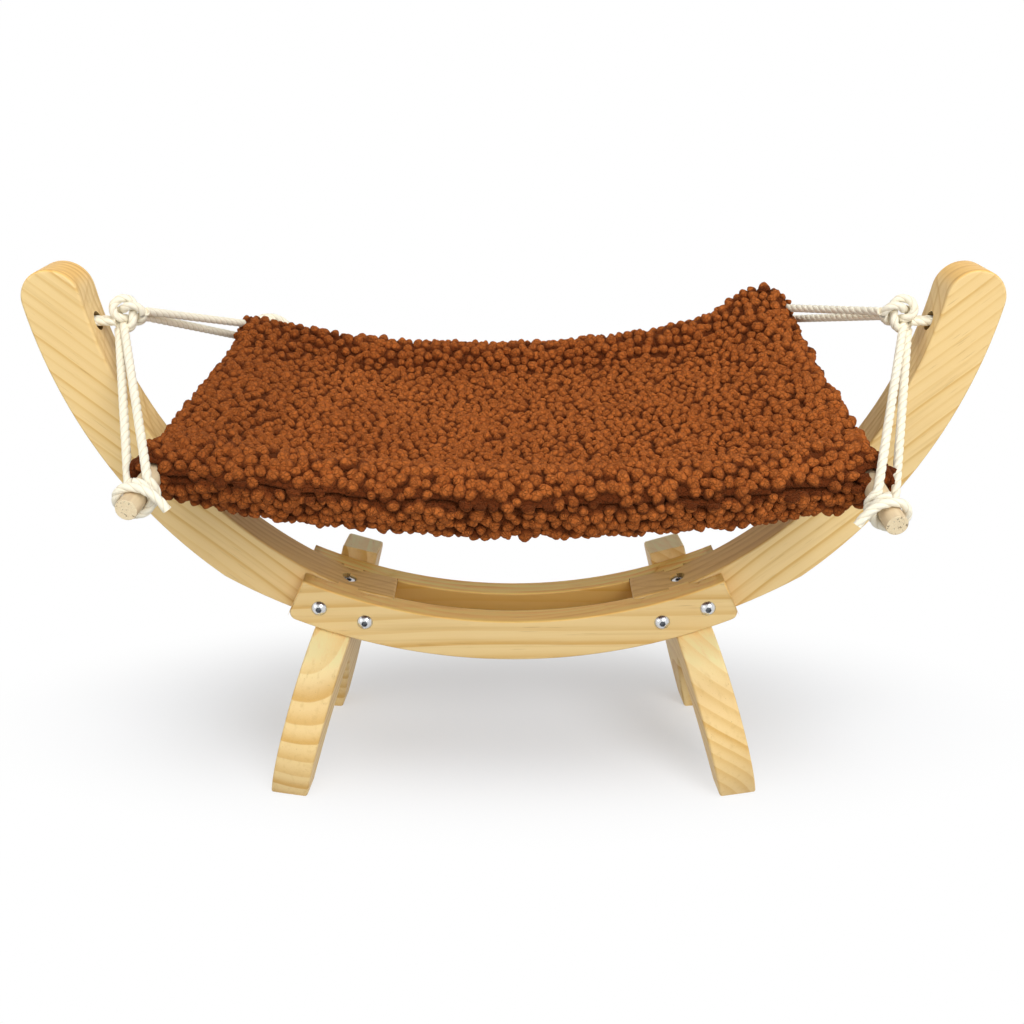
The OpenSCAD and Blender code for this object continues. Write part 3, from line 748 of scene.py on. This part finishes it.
def hitch_path(k, e, rings=40, tail_rings=14):
    """One turn round the dowel and a loose tail."""
    x = Vector((-k, 0, 0))
    y = -k * dowel_axis(k).cross(x)
    start = e * (DOWEL_L / 2 - HITCH_INSET)
    radius = turn_radius()
    wound = []
    for w in steps(rings):
        a = 2 * math.pi * w
        middle = dowel_point(k, start + e * HITCH_PITCH * w)
        wound.append(middle + radius * (math.sin(a) * x - math.cos(a) * y))
    lead = (wound[-1] - wound[-2]).normalized()
    fall = (math.cos(TAIL_LEAN) * lead - Vector((0, 0, math.sin(TAIL_LEAN)))).normalized()
    return wound + [wound[-1] + TAIL_L * w * lead.lerp(fall, w) for w in steps(tail_rings)[1:]]


def stopper_path(k, turns=2.4, rings=60):
    """A barrel of rope turns in the arm's outer pocket."""
    points = []
    inset = settings().rope.thickness / 2
    for w in steps(rings):
        a = 2 * math.pi * turns * w
        x = k * (STOPPER_X + inset + (STOPPER_L - 2 * inset) * w)
        points.append(Vector((x, STOPPER_R * math.cos(a), SWING_Z + STOPPER_R * math.sin(a))))
    return points


def loop_paths(k):
    """Two strands through the arm's hole."""
    half = settings().rope.thickness / 2 + ROPE_PLAY / 4
    end = k * (HOLE_X - KNOT_REACH + KNOT_R)
    return [[Vector((k * STOPPER_X, s * half, SWING_Z)), Vector((end, s * half, SWING_Z))] for s in (-1, 1)]


def rope_tree(material):
    """Geometry Nodes: lays twisted strands along a line."""
    sizes = dict.fromkeys(("Thickness", "Lay", "Groove", "Ring gap"), "Float")
    g, wires = new_tree("Twisted rope", {"Line": "Geometry", **sizes}, "Rope")
    line, thickness, lay, groove, gap = wires
    curve = g.node("GeometryNodeMeshToCurve", inputs={"Mesh": line})
    curve = g.node("GeometryNodeResampleCurve", {"mode": "LENGTH"}, {"Curve": curve, "Length": gap})
    whole = g.node("GeometryNodeSplineLength", output="Length")
    share = g.node("GeometryNodeSplineParameter", output="Factor")
    turns = (whole / lay * STRANDS).math("ROUND") / STRANDS
    twist = share * turns * (2 * math.pi)
    curve = g.node("GeometryNodeSetCurveTilt", inputs={"Curve": curve, "Tilt": twist})
    ring = g.node("GeometryNodeCurvePrimitiveCircle", inputs={
        "Resolution": OUTLINE, "Radius": thickness * 0.5})
    part = g.node("GeometryNodeSplineParameter", output="Factor")
    dip = (((part * STRANDS).math("FRACT") - 0.5).math("ABSOLUTE") * 2) ** GROOVE_SHARP
    place = g.node("ShaderNodeVectorMath", {"operation": "SCALE"},
                   {"Vector": g.node("GeometryNodeInputPosition"), "Scale": 1 - dip * groove})
    ring = g.node("GeometryNodeSetPosition", inputs={"Geometry": ring, "Position": place})
    ring = g.node("GeometryNodeStoreNamedAttribute", {"data_type": "FLOAT", "domain": "POINT"},
                  {"Geometry": ring, "Name": "groove", "Value": dip})
    rope = g.node("GeometryNodeCurveToMesh", inputs={
        "Curve": curve, "Profile Curve": ring, "Fill Caps": True})
    return close_tree(g, rope, material)


def rope_piece(name, tree, paths, closed=False):
    """One piece of rope along one or more lines."""
    rope = settings().rope
    points, edges = [], []
    for path in paths:
        first = len(points)
        points += path
        edges += [(first + i, first + i + 1) for i in range(len(path) - 1)]
        if closed:
            edges.append((len(points) - 1, first))
    mesh = bpy.data.meshes.new(name)
    mesh.from_pydata(points, edges, [])
    piece = link(name, mesh)
    run_tree(piece, tree, {
        "Thickness": rope.thickness, "Lay": rope.lay, "Groove": rope.groove, "Ring gap": RING_GAP})
    return piece


def path_length(path):
    return sum((b - a).length for a, b in zip(path, path[1:]))


# Bed

# The bed's cloth: its mesh and the most that it swells, in metres, and how full the pads are, from 0 to 1
CLOTH_MESH, SWELL_MOST, FILL = 0.0045, 0.003, 0.45

# How many shapes of curl there are, and how far apart the seeds of the two layers are
CURL_KINDS, SEED_STEP = 5, 40

# The room that pile needs over the cloth: anywhere, added between the layers, at the sleeves and by a dowel
PILE_ROOM, INNER_ROOM, SLEEVE_ROOM, DOWEL_ROOM = 0.0064, 0.01, 0.0005, 0.0025

# How near a rope makes curls small, and their size there and at the least on the sleeves
ROPE_NEAR, ROPE_CURL, SLEEVE_CURL = 0.006, 0.65, 0.95

# A curl, for a radius of 1: the angle where its skirt ends, how deep its centre lies in the cloth, its lowest
# point and the height that is stored at its root, which the material turns into painted shade
SKIRT, CENTRE, LOWEST, ROOT = math.radians(102), 0.16, -0.4, 0.1


def curl_mesh(name, seed, rings=5, spokes=10):
    """A knob of plush with a spiral ridge; height is about 1 on its crown and ROOT down its sides, where the
    material paints shade.
    """
    draw = random.Random(seed)
    twist = draw.choice((-1, 1)) * draw.uniform(2.4, 3.8)
    phase = draw.uniform(0, 2 * math.pi)
    lumps = [(n, draw.uniform(0, 2 * math.pi), draw.uniform(0.04, 0.1)) for n in (2, 3)]
    point, lean = draw.uniform(0, 0.4), draw.uniform(0, 0.4)
    points, heights = [Vector((lean, 0, 1 - CENTRE + point))], [0.9]
    for i in range(1, rings + 1):
        polar = SKIRT * i / rings
        for j in range(spokes):
            around = 2 * math.pi * j / spokes
            ridge = math.cos(around + phase - twist * polar)
            wide = 1 + 0.12 * ridge + sum(size * math.cos(n * around + turn) for n, turn, size in lumps)
            flat, up = math.sin(polar), math.cos(polar)
            way = Vector((flat * math.cos(around), flat * math.sin(around), up))
            reach = 1 + (wide - 1) * flat
            rise = max(0.0, up) ** 4
            points.append(reach * way + Vector((lean * rise, 0, point * rise - CENTRE)))
            # The crown mask, below which the material paints shade
            crown = 1 - ramp(polar, math.radians(26), math.radians(76))
            heights.append(max(ROOT, crown * (0.9 + 0.16 * ridge)))
    faces = [(0, 1 + j, 1 + (j + 1) % spokes) for j in range(spokes)]
    for i in range(rings - 1):
        for j in range(spokes):
            a, b = 1 + i * spokes + j, 1 + i * spokes + (j + 1) % spokes
            faces.append((a, a + spokes, b + spokes, b))
    last = 1 + (rings - 1) * spokes
    faces += [(last + (j + 1) % spokes, last + j, len(points)) for j in range(spokes)]
    points.append(Vector((0, 0, LOWEST)))
    heights.append(ROOT)
    mesh = bpy.data.meshes.new(name)
    mesh.from_pydata(points, [], faces)
    smooth_faces(mesh)
    store(mesh, "height", heights)
    return mesh


def curl_tree(material, curls):
    """Geometry Nodes: plants curls all over a cloth."""
    g, (cloth, gap, size, seed) = new_tree("Curls on cloth", {
        "Cloth": "Geometry", "Gap": "Float", "Size": "Float", "Seed": "Int"}, "Plush")
    grown, pile = [g.node("GeometryNodeInputNamedAttribute", {"data_type": "FLOAT"}, {"Name": label})
                   for label in ("growth", "pile")]
    points = g.node("GeometryNodeDistributePointsOnFaces",
                    {"distribute_method": "POISSON", "use_legacy_normal": False},
                    {"Mesh": cloth, "Distance Min": gap, "Density Max": 6 / (gap * gap), "Seed": seed,
                     "Density Factor": pile}, "Points")

    def chance(low, high, number):
        return random_value(g, low, high, seed + number)

    turned = g.node("FunctionNodeAlignRotationToVector", {"axis": "Z"}, {"Vector": points.other("Normal")})
    turn = g.vector(chance(-0.3, 0.3, 1), chance(-0.3, 0.3, 2), chance(0.0, 6.283, 3))
    spin = g.node("FunctionNodeRotateRotation", {"rotation_space": "LOCAL"},
                  {"Rotation": turned, "Rotate By": turn})
    wide = size * grown * chance(0.86, 1.2, 4)
    shape = g.vector(wide * chance(0.95, 1.2, 5), wide * chance(0.9, 1.1, 6), wide * chance(0.85, 1.15, 7))
    kinds = [g.node("GeometryNodeObjectInfo", None, {"Object": curl, "As Instance": True}, "Geometry")
             for curl in reversed(curls)]
    kind = random_value(g, 0, len(curls) - 1, seed + 8, "INT")
    tufts = g.node("GeometryNodeInstanceOnPoints", inputs={
        "Points": points, "Instance": g.node("GeometryNodeJoinGeometry", inputs={0: kinds}),
        "Pick Instance": True, "Instance Index": kind, "Rotation": spin, "Scale": shape})
    tufts = g.node("GeometryNodeStoreNamedAttribute", {"data_type": "FLOAT", "domain": "INSTANCE"},
                   {"Geometry": tufts, "Name": "tint", "Value": chance(0.0, 1.0, 9)})
    return close_tree(g, g.node("GeometryNodeJoinGeometry", inputs={0: [tufts, cloth]}), material)


def random_value(g, low, high, seed, kind="FLOAT"):
    """A random number for each point, between low and high."""
    first = {"FLOAT": 2, "INT": 4}[kind]
    return g.node("FunctionNodeRandomValue", {"data_type": kind},
                  {first: low, first + 1: high, "Seed": seed}, first // 2)


def places(mesh):
    """The places of a mesh's points, one row each."""
    flat = np.empty(len(mesh.vertices) * 3)
    mesh.vertices.foreach_get("co", flat)
    return flat.reshape(-1, 3)


def swell(piece, cap, pressure=4.0, frames=20):
    """Blows the cloth up a little and applies the result; no point moves further than cap."""
    rest = places(piece.data)
    cloth = piece.modifiers.new("Cloth", "CLOTH")
    cloth.settings.use_pressure = True
    cloth.settings.uniform_pressure_force = pressure
    cloth.settings.effector_weights.gravity = 0
    cloth.settings.quality = 4
    cloth.point_cache.frame_end = frames
    scene = bpy.context.scene
    for number in range(1, frames + 1):
        scene.frame_set(number)
    apply_modifiers(piece)
    scene.frame_set(1)
    way = places(piece.data) - rest
    far = np.linalg.norm(way, axis=1, keepdims=True)
    way *= np.minimum(1, cap / np.maximum(far, 1e-9))
    piece.data.vertices.foreach_set("co", (rest + way).ravel())
    piece.data.update()


def ramp(value, low, high):
    """Rises smoothly from 0 at low to 1 at high."""
    w = min(1.0, max(0.0, (value - low) / (high - low)))
    return w * w * (3 - 2 * w)


def half_size(node):
    low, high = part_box(node)
    return (high - low) / 2


def sink_middle(mesh, depth=0.01):
    """Lowers the bed inside its rims, with a steep fold at the rear and a gentle one in front."""
    half = half_size(UPPER)
    for vertex in mesh.vertices:
        across, along = abs(vertex.co.x) / half.x, vertex.co.y / half.y
        inside = 1 - ramp(across, 0.6, 0.84)
        fold = (1 - ramp(along, 0.68, 0.78)) * (0.35 + 0.65 * ramp(along, -0.1, 0.6))
        vertex.co.z -= depth * inside * fold * (1 - ramp(-along, 0.5, 0.86))


def shift_seam(mesh, share=0.22, corner_bulge=0.004, right_bulge=0.006):
    """Raises the seam along the front, and lets the cloth bulge round the front corners and on the right."""
    both = search_tree(*[frame["nodes"][node].data for node in INWARD])
    half = half_size(UPPER)
    for vertex in mesh.vertices:
        x, y, z = vertex.co
        front = ramp(-y, 0.6 * half.y, 0.9 * half.y)
        inner = Vector((x * 0.97, y * 0.95, 0))
        top = both.ray_cast(inner + Vector((0, 0, 1)), Vector((0, 0, -1)))[0]
        bottom = both.ray_cast(inner - Vector((0, 0, 1)), Vector((0, 0, 1)))[0]
        if top and bottom and front > 0:
            part = min(1.0, max(0.0, (z - bottom.z) / (top.z - bottom.z)))
            vertex.co.z += front * share * math.sin(math.pi * part) * (top.z - bottom.z)
        side = ramp(abs(x), 0.82 * half.x, 0.97 * half.x)
        bulge = corner_bulge * ramp(-y, 0.55 * half.y, 0.8 * half.y)
        if x > 0:
            bulge += right_bulge * ramp(y, 0.2 * half.y, 0.6 * half.y)
        vertex.co.x += math.copysign(side * bulge, x)


def lift_corner(mesh, height=0.0125):
    """Pads the upper layer's left rear corner, which hides the hitch behind it."""
    half = half_size(UPPER)
    for vertex in mesh.vertices:
        left = ramp(-vertex.co.x, 0.74 * half.x, 0.94 * half.x)
        rear = ramp(vertex.co.y, 0.5 * half.y, 0.85 * half.y)
        vertex.co.z += height * left * rear * ramp(vertex.normal.z, 0.0, 0.5)


def bed_cloth(node, name):
    """The cloth under the pile: the node's solid, sunk by the height of the pile and swollen."""
    plush = settings().plush
    piece = welded_copy(node, name)
    remesh = piece.modifiers.new("Even mesh", "REMESH")
    remesh.mode = "VOXEL"
    remesh.voxel_size = CLOTH_MESH
    apply_modifiers(piece)
    mesh = piece.data
    shift_seam(mesh)
    sink_middle(mesh)
    if node == UPPER:
        lift_corner(mesh)
    tree = search_tree(mesh)
    sunk = []
    for vertex in mesh.vertices:
        normal = vertex.normal
        hit = tree.ray_cast(vertex.co - normal * 1e-4, -normal)[3] or plush.sink
        outside = 1 - ramp(INWARD[node] * normal.z, 0.1, 0.6)
        sunk.append(vertex.co - normal * min(plush.sink, 0.3 * hit) * outside)
    for vertex, place in zip(mesh.vertices, sunk):
        vertex.co = place
    swell(piece, cap=SWELL_MOST)
    smooth = piece.modifiers.new("Soft", "SMOOTH")
    smooth.factor = 0.5
    smooth.iterations = 3
    apply_modifiers(piece)
    close_sleeves(piece.data, node)
    return piece


def close_sleeves(mesh, node, draw=0.0075, search=0.02):
    """Draws the two layers together outside the dowels, where the sleeves are sewn shut."""
    rods = neighbours_tree(node, ("dowel",))
    inward = INWARD[node]
    for vertex in mesh.vertices:
        near = rods.find_nearest(vertex.co, search)[0]
        if near is not None:
            outside = ramp(abs(vertex.co.x) - abs(near.x), 0.0005, 0.0025)
            vertex.co.z += inward * draw * outside * ramp(inward * vertex.normal.z, -0.1, 0.4)


def neighbours_tree(node, words):
    """The solids that a layer of the bed lies against, chosen by words in their names."""
    return search_tree(*[solid.data for name, solid in frame["nodes"].items()
                         if name != node and any(word in name for word in words)])


def mark_pile(piece, node, other):
    """Where pile grows, how large, and how much painted shade it takes. The rims carry larger curls, and
    covered cloth has none.
    """
    low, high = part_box(node)
    middle, half = (low + high) / 2, (high - low) / 2
    layer = search_tree(other.data)
    rods, ropes = neighbours_tree(node, ("dowel", "hitch")), neighbours_tree(node, ("rope", "hitch"))
    marks = {label: [] for label in ("growth", "pile", "shade")}
    for vertex in piece.data.vertices:
        place, normal = vertex.co, vertex.normal
        across, along = (place.x - middle.x) / half.x, (place.y - middle.y) / half.y
        gap = layer.find_nearest(place)[3]
        growth = 1 + 0.14 * ramp(max(abs(across), abs(along)), 0.7, 0.9)
        growth *= 1 - 0.25 * (1 - ramp(gap, 0.002, 0.008))
        if ropes.find_nearest(place)[3] < ROPE_NEAR:
            growth = ROPE_CURL
        room = PILE_ROOM + INNER_ROOM * ramp(INWARD[node] * normal.z, 0.1, 0.5)
        if abs(across) > 0.9 and across * normal.x > 0.2:
            room = SLEEVE_ROOM
            growth = max(growth, SLEEVE_CURL)
        hits = [layer.ray_cast(place, normal, room)[1], rods.ray_cast(place, normal, DOWEL_ROOM)[1]]
        covered = any(hit is not None and hit.dot(normal) < 0 for hit in hits)
        # At the front seam the pile parts, and the bare cloth's painted shade shows as a dark line
        parting = 1 - ramp(gap, 0.001, 0.005) if along < -0.7 else 0.0
        fold = ramp(along, 0.5, 0.68) * (1 - ramp(along, 0.76, 0.9)) * (1 - ramp(abs(across), 0.7, 0.9))
        seam = 1 - ramp(gap, 0.001, 0.0045)
        marks["growth"].append(growth)
        marks["pile"].append(0.0 if covered else 1 - parting)
        # Painted shade: in the fold before the rear rim, on the left side, and along the seam
        marks["shade"].append(max(0.06 * fold + 0.24 * ramp(-across, 0.5, 0.8), 0.75 * seam))
    # The bare cloth takes a root's height, so it shows painted shade between the curls
    marks["height"] = marks["tint"] = [ROOT] * len(piece.data.vertices)
    for label, values in marks.items():
        store(piece.data, label, values)


# Operators

# Each lamp's place and width, and the point that all of them face, in metres
LAMPS = {"Key": ((1.6, -2.9, 2.3), 2.0), "Fill": ((-2.6, -2.0, 1.2), 2.0), "Top": ((0.3, -1.1, 3.2), 1.4)}
LAMP_TARGET = Vector((0, 0, 0.22))
SENSOR = 36
FLOOR_REACH = 60.0


class HAMMOCK_OT_stage(bpy.types.Operator):
    """Sets up the camera, the lamps and the floor"""
    bl_idname = "hammock.stage"
    bl_label = "Stage"

    def execute(self, context):
        stage = settings().stage
        scene = context.scene
        scene.view_settings.view_transform = "Standard"
        self.add_camera(scene, stage)
        for name, (place, size) in LAMPS.items():
            self.add_lamp(name, Vector(place), size, getattr(stage, name.lower() + "_power"))
        self.add_sky(scene, stage.sky, stage.walls)
        self.add_floor()
        return {"FINISHED"}

    @staticmethod
    def add_camera(scene, stage):
        data = bpy.data.cameras.new("Camera")
        data.lens = stage.lens
        data.sensor_width = SENSOR
        data.shift_x = stage.shift
        scene.camera = link("Camera", data)
        scene.camera.location = stage.camera_place
        scene.camera.rotation_euler = (math.pi / 2 - stage.camera_pitch, 0, 0)

    @staticmethod
    def add_lamp(name, place, size, power):
        data = bpy.data.lights.new(name, "AREA")
        data.shape = "DISK"
        data.size = size
        data.energy = power
        lamp = link(name, data)
        lamp.location = place
        lamp.rotation_euler = (LAMP_TARGET - place).to_track_quat("-Z", "Y").to_euler()

    @staticmethod
    def add_sky(scene, overhead, walls):
        world = bpy.data.worlds.new("Studio")
        world.use_nodes = True
        scene.world = world
        g = Graph(world.node_tree)
        seen = seen_directly(g)
        sky = world.node_tree.nodes["Background"]
        sky.inputs["Color"].default_value = (1, 1, 1, 1)
        rise = g.dot(g.coordinate("Generated"), (0, 0, 1))
        light = walls + g.smooth(rise, 0.35, 0.75) * (overhead - walls)
        g.plug(sky.inputs["Strength"], light + seen * (1 - light))

    @staticmethod
    def add_floor():
        corners = [(x * FLOOR_REACH, y * FLOOR_REACH, 0) for x, y in ((-1, -1), (1, -1), (1, 1), (-1, 1))]
        mesh = bpy.data.meshes.new("floor")
        mesh.from_pydata(corners, [], [(0, 1, 2, 3)])
        mesh.materials.append(floor_material("Pale floor"))
        link("floor", mesh)


# For each board: the grain's direction, a point on the pith line and the gap of the growth rings in metres,
# the tint of its upper edges, which is painted light on rails and legs and painted shade on arms, how wide
# its dark rings are and the share of the deep tone on its faces, which is painted shade
# Painted shade on the arms' tops, and painted light on the legs' tops
ARM_TOP_SHADE, LEG_TOP_LIGHT = (1.0, 0.86, 0.58), (1.25, 1.4, 1.6)
BOARDS = {
    "left_arm": dict(along=(0.77, 0.02, -0.64), pith=(-0.36, 0.05, 0.22), gap=0.0066, tint=ARM_TOP_SHADE),
    "right_arm": dict(along=(-0.77, 0.03, -0.64), pith=(0.37, 0.055, 0.23), gap=0.0066, tint=ARM_TOP_SHADE),
    "front_rail": dict(along=(1.0, 0.01, 0.015), pith=(0.0, 0.02, 0.2), gap=0.0096,
                       tint=(1.26, 1.08, 0.7), wide=0.4),
    # The rear rail's faces take painted shade
    "rear_rail": dict(along=(1.0, 0.0, -0.02), pith=(0.0, -0.05, 0.2), gap=0.008,
                      tint=(1.36, 1.18, 0.8), shade=0.75),
    "left_leg": dict(along=(0.0, 0.9, 0.2), pith=(-0.15, -0.07, 0.128), gap=0.0135, tint=LEG_TOP_LIGHT, wide=0.9),
    "right_leg": dict(along=(-0.5, 0.9, 0.2), pith=(0.08, -0.12, -0.08), gap=0.0085, tint=LEG_TOP_LIGHT, wide=0.8),
}

# How far mark_recess looks, and the rounding of the dowels' ends, in metres
ARM_RECESS, BOLT_RECESS, DOWEL_ROUND = 0.013, 0.0055, 0.0008


class HAMMOCK_OT_boards(bpy.types.Operator):
    """Makes the arms, rails and legs of pine"""
    bl_idname = "hammock.boards"
    bl_label = "Boards"

    def execute(self, context):
        for number, (node, grain) in enumerate(BOARDS.items()):
            piece = welded_copy(node, node + "_board")
            rounded_board(piece, settings().wood.edge_round)
            if "arm" in node:
                mark_recess(piece, ARM_RECESS)
            pine = pine_material("Pine of the " + node.replace("_", " "), number, **grain)
            finished(piece, FIXED, node, pine)
        return {"FINISHED"}


class HAMMOCK_OT_fasteners(bpy.types.Operator):
    """Makes the bolts, nuts and inserts of zinc-plated steel"""
    bl_idname = "hammock.fasteners"
    bl_label = "Fasteners"

    def execute(self, context):
        zinc = zinc_material("Zinc")
        for node in ("rail_bolts", "rail_barrel_nuts", "leg_bolts", "leg_inserts"):
            piece = welded_copy(node, node + "_zinc")
            rounded(piece, settings().metal.edge_round)
            mark_recess(piece, BOLT_RECESS)
            finished(piece, FIXED, node, zinc)
        return {"FINISHED"}


class HAMMOCK_OT_dowels(bpy.types.Operator):
    """Makes the two dowels"""
    bl_idname = "hammock.dowels"
    bl_label = "Dowels"

    def execute(self, context):
        for side, k in SIDES.items():
            piece = welded_copy(side + "_dowel", side + "_dowel_rod")
            rounded(piece, DOWEL_ROUND)
            wood = dowel_material("Dowel wood " + side, dowel_axis(k))
            finished(piece, MOVING, side + "_dowel", wood)
        return {"FINISHED"}


class HAMMOCK_OT_ropes(bpy.types.Operator):
    """Makes the knots, strands, hitches and stoppers of twisted rope"""
    bl_idname = "hammock.ropes"
    bl_label = "Ropes"

    def execute(self, context):
        tree = rope_tree(rope_material("Cotton rope"))

        def add(name, paths, node, closed=False):
            return finished(rope_piece(name, tree, paths, closed), MOVING, node)

        for side, k in SIDES.items():
            add(f"{side}_knot_rope", [knot_path(k)], f"{side}_knot", closed=True)
            add(f"{side}_loop_rope", loop_paths(k), f"{side}_arm_loop")
            add(f"{side}_stopper_rope", [stopper_path(k)], f"{side}_stopper")
            for end, e in ENDS.items():
                path = strand_path(k, e)
                strand = add(f"{side}_{end}_strands", [path], f"{side}_{end}_rope")
                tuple(path[0])
                path_length(path)
                add(f"{side}_{end}_hitch_rope", [hitch_path(k, e)], f"{side}_{end}_hitch")
        return {"FINISHED"}


class HAMMOCK_OT_bed(bpy.types.Operator):
    """Makes the two plush layers of the bed"""
    bl_idname = "hammock.bed"
    bl_label = "Bed"

    def execute(self, context):
        plush = settings().plush
        curls = [bpy.data.objects.new(f"curl_{i}", curl_mesh(f"curl_{i}", plush.seed + i))
                 for i in range(CURL_KINDS)]
        tree = curl_tree(plush_material("Curly plush"), curls)
        cloths = {node: bed_cloth(node, node.replace("layer", "plush")) for node in INWARD}
        mark_pile(cloths[UPPER], UPPER, cloths[LOWER])
        mark_pile(cloths[LOWER], LOWER, cloths[UPPER])
        for number, (node, piece) in enumerate(cloths.items()):
            run_tree(piece, tree, {
                "Gap": plush.curl_gap, "Size": plush.curl_size, "Seed": plush.seed + SEED_STEP * number})
            finished(piece, MOVING, node)
        for curl in curls:
            bpy.data.objects.remove(curl)
        return {"FINISHED"}


class HAMMOCK_PT_sidebar(bpy.types.Panel):
    """Lists the pieces of the hammock"""
    bl_idname = "HAMMOCK_PT_sidebar"
    bl_label = "Cat hammock"
    bl_space_type = "VIEW_3D"
    bl_region_type = "UI"
    bl_category = "Hammock"

    def draw(self, context):
        for operator in OPERATORS:
            self.layout.operator(operator.bl_idname)


OPERATORS = (HAMMOCK_OT_stage, HAMMOCK_OT_boards, HAMMOCK_OT_fasteners, HAMMOCK_OT_dowels, HAMMOCK_OT_ropes,
             HAMMOCK_OT_bed)
CLASSES = (WoodSettings, MetalSettings, RopeSettings, PlushSettings, StageSettings, HammockSettings,
           *OPERATORS, HAMMOCK_PT_sidebar)


def register():
    for item in CLASSES:
        bpy.utils.register_class(item)
    bpy.types.Scene.hammock = PointerProperty(type=HammockSettings)


def unregister():
    del bpy.types.Scene.hammock
    for item in reversed(CLASSES):
        bpy.utils.unregister_class(item)


def main():
    register()
    bpy.ops.hammock.stage()
    bpy.ops.hammock.boards()
    bpy.ops.hammock.fasteners()
    bpy.ops.hammock.dowels()
    bpy.ops.hammock.ropes()
    bpy.ops.hammock.bed()


if __name__ == "__main__":
    main()
